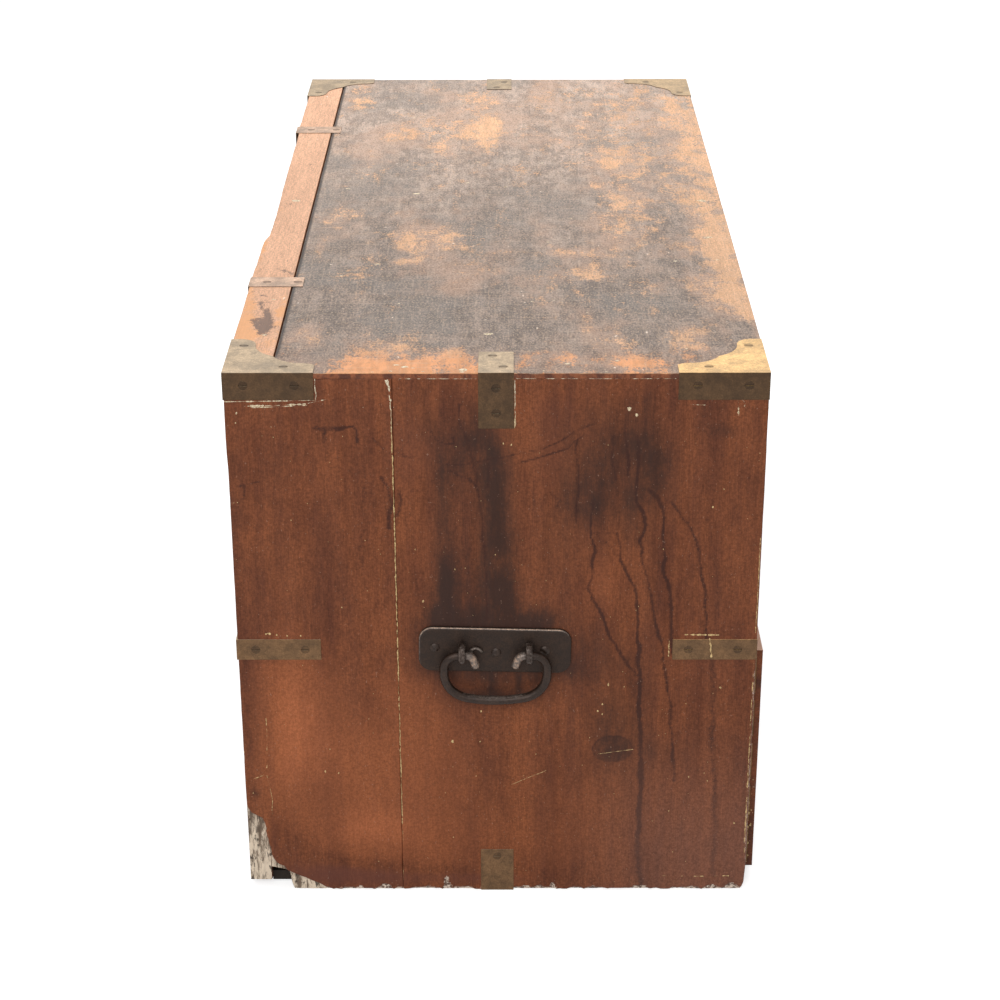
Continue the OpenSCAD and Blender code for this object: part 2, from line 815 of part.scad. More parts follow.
// Dovetails between heights z0 and z1, from their root inside the shoulder at y0 to their ends at y1
module tails(z0, z1, n, y0, y1, g) {
    pitch = (z1 - z0) / n;
    run = abs(y1 - y0);
    root = y0 + cut * sign(y0 - y1);
    wide = (pitch - pin_w) / 2;
    slim = wide - tail_slope * run;
    for (i = [0:n - 1]) {
        mid = z0 + (i + 0.5) * pitch;
        polygon([[root, mid - slim - g], [y0, mid - slim - g], [y1, mid - wide - g],
            [y1, mid + wide + g], [y0, mid + slim + g], [root, mid + slim + g]]);
    }
}

module front_tails_2d(u, g) {
    tails(z_low(u), side_top(u), front_tails, face_y(u) + front_t, face_y(u) + blind_lap, g);
}

module back_tails_2d(u, g) {
    tails(back_low(u), back_high(u), back_tails, rear_y(u) - drawer_back_t, rear_y(u), g);
}

module panel_form(u, g) {
    box([-drawer_x + side_t - bottom_groove - g, face_y(u) + front_t - bottom_groove - g, panel_z(u) - g],
        [drawer_x - side_t + bottom_groove + g, rear_y(u), panel_z(u) + drawer_bottom_t + g]);
}

// Side at -X: a board with the spaces between its tails cut out at both ends, and a groove for the bottom
module drawer_side(u) {
    tail_l = front_t - blind_lap;
    difference() {
        prism_x(-drawer_x, -drawer_x + side_t) difference() {
            translate([face_y(u) + blind_lap, z_low(u)])
                square([drawer_len - blind_lap, side_top(u) - z_low(u)]);
            difference() {
                translate([face_y(u) + blind_lap - cut, z_low(u) - cut])
                    square([tail_l + cut, side_top(u) - z_low(u) + 2 * cut]);
                front_tails_2d(u, 0);
            }
            difference() {
                translate([rear_y(u) - drawer_back_t, back_low(u)])
                    square([drawer_back_t + cut, back_high(u) - back_low(u)]);
                back_tails_2d(u, 0);
            }
        }
        panel_form(u, fit);
    }
}

module drawer_back(u) {
    color("burlywood") difference() {
        box([-drawer_x, rear_y(u) - drawer_back_t, back_low(u)], [drawer_x, rear_y(u), back_high(u)]);
        for (m = [0, 1]) mirror([m, 0, 0])
            prism_x(-drawer_x - cut, -drawer_x + side_t + fit) back_tails_2d(u, fit);
        panel_form(u, fit);
    }
}

module drawer_bottom(u) {
    color("burlywood") panel_form(u, 0);
}

module key_outline() {
    circle(key_r);
    translate([-key_r / 2, -key_slot]) square([key_r, key_slot]);
}

// Lock let into the inside of the front: a case with a selvedge on the top edge and its bolt drawn in
module lock_form(u, g) {
    selvedge_t = 2;
    selvedge_lap = 3;
    inner_y = face_y(u) + front_t + g;
    case_y = face_y(u) + front_t - lock_t - g;
    half = lock_w / 2 + g;
    box([-half, case_y, z_high(u) - lock_h - g], [half, inner_y, z_high(u) - selvedge_t + g]);
    box([-half, case_y - selvedge_lap, z_high(u) - selvedge_t - g], [half, inner_y, z_high(u)]);
}

function key_z(u) = z_high(u) - lock_h * 0.55;

module escutcheon_form(u, g) {
    translate([0, 0, key_z(u)]) prism_y(face_y(u) - g, face_y(u) + brass_t) circle(escutcheon_r + g);
}

// Plate and well of a flush pull, the face at y and its middle at x and z
module pull_form(x, y, z, g) {
    translate([x, y, z]) {
        box([-pull_w / 2 - g, -brass_proud, -pull_h / 2 - g], [pull_w / 2 + g, let_in, pull_h / 2 + g]);
        box([-well_w / 2 - well_wall - g, -brass_proud, -well_h / 2 - well_wall - g],
            [well_w / 2 + well_wall + g, well_d + well_wall, well_h / 2 + well_wall + g]);
    }
}

ring_pivot_y = 3.4;
ring_pin_l = well_w / 2 + well_wall;

module drawer_front(u) {
    color("saddlebrown") difference() {
        box([-drawer_x, face_y(u), z_low(u)], [drawer_x, face_y(u) + front_t, z_high(u)]);
        for (m = [0, 1]) mirror([m, 0, 0])
            prism_x(-drawer_x - cut, -drawer_x + side_t + fit) front_tails_2d(u, fit);
        panel_form(u, fit);
        lock_form(u, fit);
        escutcheon_form(u, fit);
        translate([0, 0, key_z(u)]) prism_y(face_y(u) - cut, face_y(u) + front_t) key_outline();
        for (s = [-1, 1]) pull_form(s * pull_x, face_y(u), pull_z(u), fit);
    }
}

module drawer_pull_plates(u) {
    color("darkkhaki") for (s = [-1, 1]) difference() {
        pull_form(s * pull_x, face_y(u), pull_z(u), 0);
        translate([s * pull_x, face_y(u), pull_z(u)]) {
            box([-well_w / 2, -cut, -well_h / 2], [well_w / 2, well_d, well_h / 2]);
            translate([0, ring_pivot_y, ring_pivot_z]) rotate([0, 90, 0])
                cylinder(r = pin_r + pin_gap, h = 2 * ring_pin_l + cut, center = true);
        }
    }
}

module drawer_escutcheon(u) {
    color("darkkhaki") difference() {
        escutcheon_form(u, 0);
        translate([0, 0, key_z(u)]) prism_y(face_y(u) - cut, face_y(u) + brass_t + cut) key_outline();
    }
}

module drawer_lock(u) {
    bolt_w = 22;
    bolt_t = 5;
    slit = 1;
    plate = 2;
    bolt_y = face_y(u) + front_t - lock_t + slit;
    color("goldenrod") difference() {
        lock_form(u, 0);
        translate([0, 0, key_z(u)]) prism_y(face_y(u), face_y(u) + front_t - plate) key_outline();
        for (x = [-bolt_w / 2 - slit, bolt_w / 2])
            box([x, bolt_y, z_high(u) - slit], [x + slit, bolt_y + bolt_t, z_high(u) + cut]);
    }
}

// Swinging ring of a flush pull, hanging from two pins in the well's walls
ring_corner_r = 7;
ring_half = concat(
    [[0, -ring_drop]],
    arc([ring_half_w - ring_corner_r, ring_corner_r - ring_drop], ring_corner_r, -90, 0, 5),
    [[ring_half_w, -ring_r], [ring_half_w, ring_r * 0.8]]
);
ring_path = both_halves(ring_half);
ring_radii = [for (i = [0:len(ring_path) - 1]) (i == 0 || i == len(ring_path) - 1 ? 0.6 : 1) * ring_r];

module pull_ring(s, u) {
    color("darkkhaki") translate([s * pull_x, face_y(u) + ring_pivot_y, pull_z(u) + ring_pivot_z]) {
        rotate([0, 0, -90]) swept_rod(ring_path, ring_radii, 10);
        for (k = [-1, 1]) translate([k * (ring_half_w + ring_pin_l - run_gap) / 2, 0, 0]) rotate([0, 90, 0])
            cylinder(r = pin_r, h = ring_pin_l - run_gap - ring_half_w, center = true);
    }
}

near_end_front_board();
near_end_rear_board();
far_end_front_board();
far_end_rear_board();
top_main_board();
top_rear_board();
back_upper_board();
back_lower_board();
bottom_board();
divider_rail();
bottom_rail();
drawer_runners();
dust_board();
drawer_stops();
corner_bracket(1);  // near_front_corner_bracket
corner_bracket(-1);  // near_back_corner_bracket
far_end() corner_bracket(1);  // far_front_corner_bracket
far_end() corner_bracket(-1);  // far_back_corner_bracket
corner_strap(1);  // near_front_corner_strap
corner_strap(-1);  // near_back_corner_strap
far_end() corner_strap(1);  // far_front_corner_strap
far_end() corner_strap(-1);  // far_back_corner_strap
top_edge_strap();  // near_top_edge_strap
far_end() top_edge_strap();  // far_top_edge_strap
bottom_edge_strap();  // near_bottom_edge_strap
far_end() bottom_edge_strap();  // far_bottom_edge_strap
rear_top_strap();  // near_rear_top_strap
far_end() rear_top_strap();  // far_rear_top_strap
brass_screws();
handle_plate();  // near_handle_plate
far_end() handle_plate();  // far_handle_plate
handle_eyes();  // near_handle_eyes
far_end() handle_eyes();  // far_handle_eyes
handle_nails();
carry_bail();  // near_carry_bail
far_end() carry_bail();  // far_carry_bail
drawer_front(1);  // upper_drawer_front
color("burlywood") drawer_side(1);  // upper_drawer_near_side
color("burlywood") far_end() drawer_side(1);  // upper_drawer_far_side
drawer_back(1);  // upper_drawer_back
drawer_bottom(1);  // upper_drawer_bottom
drawer_pull_plates(1);  // upper_drawer_pull_plates
drawer_escutcheon(1);  // upper_drawer_escutcheon
drawer_lock(1);  // upper_drawer_lock
pull_ring(-1, 1);  // upper_near_pull_ring
pull_ring(1, 1);  // upper_far_pull_ring
drawer_front(0);  // lower_drawer_front
color("burlywood") drawer_side(0);  // lower_drawer_near_side
color("burlywood") far_end() drawer_side(0);  // lower_drawer_far_side
drawer_back(0);  // lower_drawer_back
drawer_bottom(0);  // lower_drawer_bottom
drawer_pull_plates(0);  // lower_drawer_pull_plates
drawer_escutcheon(0);  // lower_drawer_escutcheon
drawer_lock(0);  // lower_drawer_lock
pull_ring(-1, 0);  // lower_near_pull_ring
pull_ring(1, 0);  // lower_far_pull_ring
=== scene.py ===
"""Half of a brass-bound campaign chest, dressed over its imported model.

Every new piece is a surface worked out with numpy, in the model's own frame: X runs along the chest from its
near end at -X, the drawers open towards -Y, and Z is up. Lengths in the tables are millimetres.
"""

import math

import bmesh
import bpy
import numpy as np
from bpy.props import FloatProperty, FloatVectorProperty, PointerProperty
from mathutils import Matrix, Vector


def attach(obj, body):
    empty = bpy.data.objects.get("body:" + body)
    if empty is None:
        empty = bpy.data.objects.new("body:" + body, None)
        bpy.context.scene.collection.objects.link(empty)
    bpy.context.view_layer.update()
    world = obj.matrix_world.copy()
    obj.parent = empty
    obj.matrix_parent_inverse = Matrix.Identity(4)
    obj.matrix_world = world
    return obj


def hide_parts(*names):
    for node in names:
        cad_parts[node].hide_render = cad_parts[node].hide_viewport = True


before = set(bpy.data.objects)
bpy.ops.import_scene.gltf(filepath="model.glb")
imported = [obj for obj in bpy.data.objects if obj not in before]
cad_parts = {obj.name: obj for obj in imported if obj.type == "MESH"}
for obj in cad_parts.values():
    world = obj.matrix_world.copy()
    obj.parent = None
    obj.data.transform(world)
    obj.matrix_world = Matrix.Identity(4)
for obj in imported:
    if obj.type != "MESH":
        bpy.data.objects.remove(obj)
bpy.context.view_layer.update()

bl_info = {
    "name": "Campaign chest",
    "version": (1, 0, 0),
    "blender": (4, 5, 0),
    "location": "3D View > Sidebar > Chest",
    "description": "Worn boards, let-in brass, forged handles and dovetailed drawers of a campaign chest",
    "category": "Add Mesh",
}

MM = 0.001

# Sizes of the case, as in the model
HALF_L = 494.0
HALF_D = 228.5
HEIGHT = 512.0
INNER_X = 474.0
LIP_Z = 507.0
TOP_Z = 488.0
JOINT_Y = 87.0
STRIP_Y = 188.5
STRIP_GAP = 1.2
BACK_Y = 208.5
LAP_X = 488.0
BACK_JOINT_Z = 300.0
EYE_X = 504.9
EYE_Y = 1.0
EYE_Z = 251.0
EYE_SLACK = 4.0
EYE_SPACING = 59.0
EYE_INNER = 4.4
EYE_BAND = 3.5
EYE_WIDTH = 6.0
SHANK_X = (-498.0, -474.1)
CLENCH_X = (-474.0, -472.0)
PLATE_SIZE = (134, 43)
PLATE_CORNER = 12
PLATE_THICK = 3
PLATE_TILT = 1.3
PLATE_MIDDLE = (1.5, 252)
PULL_X = 245.0
RING_HALF_W = 24.5
RING_PIVOT_Y = 3.4
RING_PIVOT_Z = 8.0
FRONT_END_X = 472.8

# Grids of the boards: a board's thickness, that of the broken skin, half the gap of the joint, the width of the
# rim with closer steps, and a height where every outline is whole
BOARD_THICK = 20
SKIN_THICK = 6
JOINT_GAP = 0.05
STEP_RIM = 1.6
WHOLE_Z = 200.0

# Drawer fronts: their lower and upper edges and their face, which stands out of the case by the drawer's gap
DRAWERS = {"upper": (262.8, 486.8, -231.0), "lower": (12.3, 239.3, -237.0)}

# Rounding of edges, in metres
RAIL_EDGE = 0.0008
FRONT_EDGE = 0.0005
SCREW_EDGE = 0.00018

# Nails of the iron plate from its middle, then profiles as (radius, height): a nail's head, a pull ring's pin
NAILS = ((53, 3), (-1, -2), (-44, 0))
NAIL_HEAD = [(0.2, 1.6), (1.6, 1.5), (3.0, 1.1), (4.1, 0.5), (4.5, 0.05), (4.5, -0.3), (1.6, -0.3)]
RING_PIN = [(0.9, 7.4), (1.42, 7.1), (1.42, 0.2), (0.9, 0.0)]

# Bent nail beside the near plate's left eye: y, z, and how proud of the plate
BENT_NAIL = [(12.5, 250.0, 0.4), (13.5, 252.5, 1.5), (16.0, 254.8, 2.2), (19.0, 255.4, 2.4),
             (22.0, 254.0, 2.2), (22.6, 251.4, 1.6), (21.0, 249.0, 0.8)]

# Screws through the brass: (y, z) on an end, and (x, y) on the top
END_SCREWS = [(s * (HALF_D - u), z) for s in (-1, 1)
              for u, z in ((17, 501), (60, 501), (16.5, 251.5), (60, 251.5))]
END_SCREWS += [(0, HEIGHT - 13.5), (0, HEIGHT - 36), (0, 37)]
TOP_SCREWS = [(s * (HALF_L - u), t * (HALF_D - v)) for s in (-1, 1) for t in (-1, 1)
              for u, v in ((64, 12), (14, 50))]
TOP_SCREWS += [(s * (HALF_L - u), v) for s in (-1, 1) for u, v in ((14, -6), (39.5, 3))]
TOP_SCREWS += [(s * (HALF_L - 231), HALF_D - v) for s in (-1, 1) for v in (16, 44.5)]

# Dried runs on the near end: half width, strength, and the line's points as (y, z)
RUNS = [
    (1.7, 0.8, [(155, 462), (148, 461), (139, 462), (130, 462), (120, 463), (117, 459), (117, 450)]),
    (1.6, 0.8, [(145, 461), (146, 449)]),
    (1.3, 0.6, [(104, 453), (98, 447), (95, 442)]),
    (1.7, 0.75, [(97, 416), (93, 408), (90, 393), (91, 379), (92, 370)]),
    (1.7, 0.6, [(83, 404), (83, 391), (84, 382)]),
    (1.9, 0.4, [(113, 413), (114, 374), (116, 355), (117, 330)]),
    (2.0, 0.45, [(108, 411), (108, 394)]),
    (1.0, 0.75, [(55, 460), (51, 453), (42, 448), (36, 448), (36, 455)]),
    (1.1, 0.6, [(85, 440), (78, 435), (69, 435)]),
    (0.9, 0.45, [(80, 401), (62, 405)]),
    (1.3, 0.7, [(40, 424), (32, 420), (23, 416), (17, 410), (14, 401), (13, 387), (11, 377), (11, 356),
        (10, 339), (9, 313), (8, 280)]),
    (1.3, 0.65, [(30, 485), (31, 470), (26, 453), (22, 438), (18, 421), (16, 411)]),
    (1.3, 0.6, [(7, 430), (6, 418), (7, 409)]),
    (1.4, 0.7, [(219, 410), (215, 410), (216, 397)]),
    (1.2, 0.7, [(210, 411), (203, 412)]),
    (1.1, 0.72, [(-21, 432), (-33, 434), (-51, 441), (-61, 444), (-67, 451), (-73, 455)]),
    (1.0, 0.68, [(43, 429), (24, 430), (6, 434), (-6, 436), (-22, 441), (-40, 444), (-54, 451), (-67, 460),
        (-76, 464), (-86, 468)]),
    (1.2, 0.75, [(-69, 451), (-68, 441), (-70, 426), (-69, 412), (-70, 402), (-68, 391), (-70, 373)]),
    (1.2, 0.75, [(-98, 455), (-98, 437), (-101, 414)]),
    (1.3, 0.75, [(-110, 476), (-109, 455), (-111, 440), (-112, 419)]),
    (1.5, 0.9, [(-119, 455), (-121, 434), (-120, 412), (-120, 394), (-125, 385), (-128, 373), (-126, 365),
        (-123, 358), (-125, 344)]),
    (1.6, 0.95, [(-130, 405), (-138, 398), (-143, 387), (-144, 371), (-144, 354), (-146, 340), (-144, 329),
        (-149, 316), (-152, 292), (-153, 261), (-154, 248)]),
    (1.4, 0.85, [(-82, 394), (-82, 378), (-82, 364), (-84, 347), (-83, 329), (-80, 314), (-84, 303),
        (-92, 286), (-101, 261), (-115, 237), (-125, 223)]),
    (1.2, 0.38, [(-82, 365), (-91, 365), (-104, 364)]),
    (1.4, 0.8, [(-104, 364), (-106, 354), (-107, 338), (-115, 323), (-120, 310), (-122, 292), (-124, 261)]),
    (2.2, 1.0, [(-124, 270), (-124, 258), (-126, 223), (-126, 194), (-128, 173), (-130, 145), (-130, 113),
        (-129, 85), (-129, 54), (-130, 27), (-134, 2)]),
    (1.5, 0.85, [(-125, 342), (-130, 323), (-134, 306), (-138, 286), (-144, 261), (-146, 245), (-148, 231),
        (-152, 208), (-155, 194), (-154, 175), (-158, 157), (-159, 129), (-160, 117)]),
    (1.5, 0.85, [(-151, 394), (-158, 382), (-167, 367), (-173, 351), (-176, 332), (-181, 310), (-183, 286),
        (-185, 261)]),
    (1.1, 0.5, [(-85, 365), (-98, 351), (-107, 336)]),
    (1.6, 0.5, [(-31, 402), (-33, 384)]),
    (1.1, 0.6, [(-43, 404), (-55, 395), (-52, 387)]),
    (2.6, 0.3, [(-181, 384), (-183, 365), (-191, 329), (-194, 282)]),
    (3.0, 0.6, [(-185, 264), (-190, 239), (-192, 200), (-193, 155), (-196, 111), (-199, 68), (-199, 16)]),
    (0.9, 0.6, [(-87.5, 144.8), (-85.8, 150.5), (-87.1, 155.5), (-91.1, 160), (-96.9, 162.8), (-104, 163.9),
        (-111.1, 162.8), (-116.9, 160), (-120.9, 155.5), (-122.2, 150.5), (-120.5, 144.8)]),
    (0.8, 0.3, [(-120.5, 144.8), (-116.9, 141), (-111.1, 138.2), (-104, 137.1), (-96.9, 138.2),
        (-91.1, 141)]),
]

# Soft dark places on the near end, soot and painted shade under and round the iron plate and the handle: y, z,
# half width, half height, strength
SOOT_AND_SHADE = [
    (46, 395, 11, 52, 0.5), (44, 335, 12, 50, 0.62), (46, 292, 16, 30, 0.8), (22, 300, 24, 46, 0.42),
    (22, 370, 16, 60, 0.22), (2, 415, 14, 55, 0.45), (-2, 345, 18, 70, 0.85), (-12, 296, 26, 34, 0.7),
    # (-2, 254), (0, 224), (0, 206), (60, 232), (-62, 230) and (8, 199) are painted shade under and round the
    # iron plate and the handle's grip
    (-36, 281, 26, 13, 0.55), (56, 278, 16, 12, 0.5), (-2, 254, 82, 33, 1.1), (0, 224, 56, 12, 0.4),
    (0, 206, 46, 8, 0.5), (-36, 216, 14, 22, 0.3), (42, 216, 12, 24, 0.3), (-132, 442, 16, 22, 0.45),
    (-134, 412, 12, 20, 0.42), (-84, 412, 20, 38, 0.32), (-108, 425, 46, 56, 0.55),
    (-82, 388, 10, 20, 0.35), (-112, 380, 40, 40, 0.35), (60, 232, 12, 11, 0.5), (-62, 230, 13, 11, 0.5),
    (8, 199, 40, 9, 0.35), (60, 464, 24, 36, 0.3), (-98, 225, 34, 46, 0.22), (-191, 460, 15, 8, 0.75),
    (-130, 320, 18, 70, 0.25), (-108, 172, 44, 60, 0.32), (-135, 120, 40, 90, 0.16),
    (220, 104, 6, 6, 0.7), (18, 474, 13, 36, 0.62), (30, 440, 22, 40, 0.5), (-4, 430, 20, 34, 0.4),
    (-128, 490, 8, 14, 0.3), (172, 300, 8, 34, 0.4), (150, 497, 10, 10, 0.5), (-56, 464, 24, 38, 0.36),
    (-104, 464, 26, 30, 0.34), (-60, 408, 16, 34, 0.36), (-104, 462, 18, 20, 0.06),
    (-152, 440, 20, 40, 0.14), (-104, 128, 28, 34, 0.16), (62, 450, 34, 46, 0.1), (-56, 352, 20, 46, 0.5),
    (-8, 356, 14, 30, 0.2), (-106, 165, 24, 60, 0.32), (-190, 492, 40, 12, 0.2), (206, 240, 26, 5, 0.4),
    (-190, 240, 40, 5, 0.4), (-140, 145, 9, 14, 0.3), (5, 216, 3.5, 15, 0.5), (-20, 218, 3, 13, 0.45),
    (12, 150, 3, 8, 0.3), (10, 125, 4, 4, 0.5), (-42, 262, 5, 9, 0.3),
]

# Broad changes of tone on the near end: y, z, half width, half height, amount, where below nothing is darker
TONES = [
    (160, 170, 44, 66, 1.1), (190, 220, 28, 44, 0.7), (110, 110, 44, 66, 0.7), (60, 150, 30, 76, 0.7),
    (60, 60, 40, 44, 0.6), (10, 110, 44, 66, 0.2), (-70, 90, 60, 60, 0.4), (120, 480, 20, 26, 0.35),
    (52, 484, 7, 20, 0.7), (68, 440, 26, 60, -0.4), (60, 350, 12, 60, 0.3), (-95, 318, 16, 30, 0.6),
    (-45, 480, 26, 18, -0.3), (-50, 440, 16, 26, -0.25), (-170, 430, 18, 26, 0.3),
    (-60, 230, 20, 30, 0.35), (-40, 190, 30, 30, 0.25), (150, 18, 60, 14, -0.8), (70, 14, 60, 10, -0.6),
    (190, 130, 24, 60, 0.9), (126, 62, 44, 28, 1.25), (89, 208, 16, 26, 0.5), (186, 308, 20, 34, 0.5),
    (0, 12, 60, 10, -0.5), (190, 46, 20, 16, -0.3), (-90, 14, 70, 12, -0.1), (-60, 40, 60, 30, 0.2),
    (-180, 60, 50, 60, 0.45), (-150, 200, 60, 70, -0.1), (-200, 330, 22, 80, -0.15),
    (130, 250, 22, 60, -0.2), (195, 330, 20, 60, -0.15), (-215, 180, 12, 120, 0.15),
    (20, 440, 60, 40, -0.3),
]

# Knot on the near end: its middle and its half width and half height
KNOT = (-104, 150.5, 19, 14.5)

# Soft places on the near end (y, z, half width, half height, strength): fine speckles, rubbed foot and rim
SPECKLED = [(-40, 415, 60, 40, 1), (100, 445, 30, 20, 1)]
RUBBED_FOOT = [(40, 12, 40, 10, 1), (-200, 20, 34, 14, 1)]
RUBBED_RIM = [(-228, 70, 5, 70, 1), (-228, 190, 3.5, 80, 0.7), (44, 16, 6, 8, 0.8)]

# Bare patches worn through the coating of the top: distance from the near end, y, half lengths, strength
BARE = [
    (874, 167, 45, 21, 1), (743, 110, 37, 20, 1), (760, 42, 67, 34, 1), (678, 62, 40, 9, 0.8),
    (891, 16, 37, 14, 0.7), (420, 164, 26, 8, 0.8), (350, 166, 43, 4, 0.9), (362, 94, 50, 17, 1),
    (362, 54, 56, 25, 0.9), (440, 145, 15, 20, 0.8), (244, 36, 28, 15, 0.7), (62, 94, 29, 27, 1),
    (16, 86, 22, 66, 1.7), (52, 41, 21, 10, 0.9), (96, 169, 25, 12, 0.6), (601, 81, 60, 4, 0.5),
    (136, 94, 15, 5, 0.7), (296, 125, 29, 9, 0.6), (299, 88, 8, 15, 1.1), (760, 8, 101, 20, 0.9),
    (891, -55, 37, 19, 0.5), (542, -105, 22, 10, 1), (646, -135, 39, 26, 0.9), (319, -74, 11, 25, 1.1),
    (500, -30, 69, 6, 0.4), (426, -129, 98, 26, 0.5), (638, -216, 116, 24, 0.8), (458, -208, 67, 18, 0.9),
    (361, -214, 75, 17, 1), (272, -216, 69, 15, 1.1), (215, -193, 60, 24, 0.9), (172, -222, 48, 11, 1.1),
    (76, -167, 24, 19, 1.1), (243, -87, 23, 20, 0.7), (38, -62, 14, 12, 1), (24, -111, 12, 22, 1.1),
    (76, -105, 9, 10, 0.9), (111, -83, 30, 10, 0.5), (162, -134, 52, 7, 0.5), (29, -28, 14, 10, 0.8),
    (793, -214, 103, 14, 0.6), (872, -206, 45, 14, 0.4),
]
COATED = [
    (115, -216, 20, 12, 1), (283, -167, 12, 13, 0.9), (295, -200, 9, 11, 0.8), (200, 176, 33, 16, 0.5),
    (111, -43, 45, 28, 0.5), (136, 22, 46, 35, 0.4), (803, 154, 35, 27, 0.5), (500, 114, 63, 18, 0.3),
    (43, 135, 19, 10, 0.6), (141, -170, 15, 23, 0.7), (91, -126, 15, 19, 0.6), (132, 206, 36, 9, 1),
]

# Wood worn away from the rear edge of the strip: distance from the near end, depth
STRIP_WEAR = [
    (0, 0.2), (70, 0.4), (150, 1.0), (210, 0.5), (250, 0.3), (300, 0.8), (352, 1.4), (372, 4.8),
    (440, 5.2), (520, 4.4), (560, 3.6), (700, 3.2), (742, 2.6), (758, 0.8), (800, 1.6), (905, 1.4),
    (988, 0.2),
]

# Stains and warm bare places of the strip: distance from the near end, y, half lengths, strength
STRIP_STAINS = [
    (132, 207, 36, 10, 1.15), (105, 204, 18, 8, 0.9), (232, 190, 20, 5, 0.6), (470, 215, 14, 6, 0.5),
    (752, 222, 14, 8, 0.9), (600, 205, 20, 5, 0.3), (265, 200, 30, 12, 0.45), (180, 212, 30, 7, 0.5),
]
STRIP_BARE = [
    (80, 218, 60, 14, 1.0), (150, 222, 60, 8, 0.9), (150, 192, 54, 5, 1.0), (60, 196, 26, 12, 0.4),
    (330, 228, 60, 5, 0.8), (420, 229, 80, 6, 1.0), (640, 229, 200, 3, 0.4), (220, 228, 40, 5, 0.6),
]

# Specks of old filler on the near end: y, z, size
FLECKS = [
    (-112, 480, 3.2), (-118, 474, 2.4), (-13, 447, 1.6), (-6, 448, 1.2), (-194, 406, 1.0),
    (-185, 389, 1.4), (-144, 349, 1.0), (-223, 439, 1.0), (-43, 319, 0.8), (1, 344, 0.9), (-99, 216, 2.0),
    (-113, 214, 1.0), (-94, 196, 1.6), (-90, 189, 1.5), (-94, 186, 1.4), (-83, 162, 1.1), (-29, 158, 0.9),
    (-35, 145, 0.9), (-173, 121, 1.2), (-187, 125, 1.0), (-198, 213, 1.8), (-156, 85, 1.1),
    (-190, 117, 1.2), (-216, 72, 1.8), (-161, 41, 1.0), (176, 377, 1.1), (36, 330, 1.1), (27, 331, 0.9),
    (64, 299, 1.8), (70, 349, 0.8), (218, 476, 1.6), (219, 467, 1.2), (188, 454, 0.9), (135, 293, 1.0),
    (40, 158, 2.6), (15, 158, 1.3), (155, 127, 2.2), (143, 125, 1.4), (14, 189, 1.6), (227, 147, 1.0),
    (221, 104, 1.2), (150, 150, 0.9), (19, 122, 0.8), (109, 31, 1.0), (40, 57, 0.9), (-12, 272, 1.1),
    (199, 267, 2.2), (193, 266, 1.6), (184, 265, 1.2), (172, 265, 1.4),
]

# Spots of pale paint on the top: distance from the near end, y, size
TOP_SPOTS = [
    (529, 157, 3.4), (811, 97, 2.2), (511, 84, 6.5), (284, 113, 3.2), (487, 208, 6.5), (94, 6.7, 5.0),
    (173, 88, 2.0), (184, 202, 2.6), (92, 202, 3.0), (15, 77, 5.0), (19, 84, 4.0), (8, 28.4, 5.5),
    (3, 28.2, 4.0), (250, 145, 2.2), (550, 32, 2.6), (628, 22, 3.0), (535, -8, 3.0), (350, -49, 2.0),
    (178, -32, 1.6), (181, -52, 1.6), (486, -209, 7.5), (365, -206, 5.0), (295, -209, 3.0),
    (149, -81, 1.6), (123, -224, 2.4), (22, -60, 3.6), (29, -102, 2.0), (57, -163, 2.0), (199, -141, 2.0),
    (426, -73, 2.0), (624, -47, 2.6), (806, -160, 3.0), (292, -169, 2.6), (5, 88, 2.4), (3, 103, 2.0),
    (4, 61, 2.0), (12, 70, 2.6), (6, -40, 1.6), (3, -92, 1.8), (40, 30, 1.6),
]

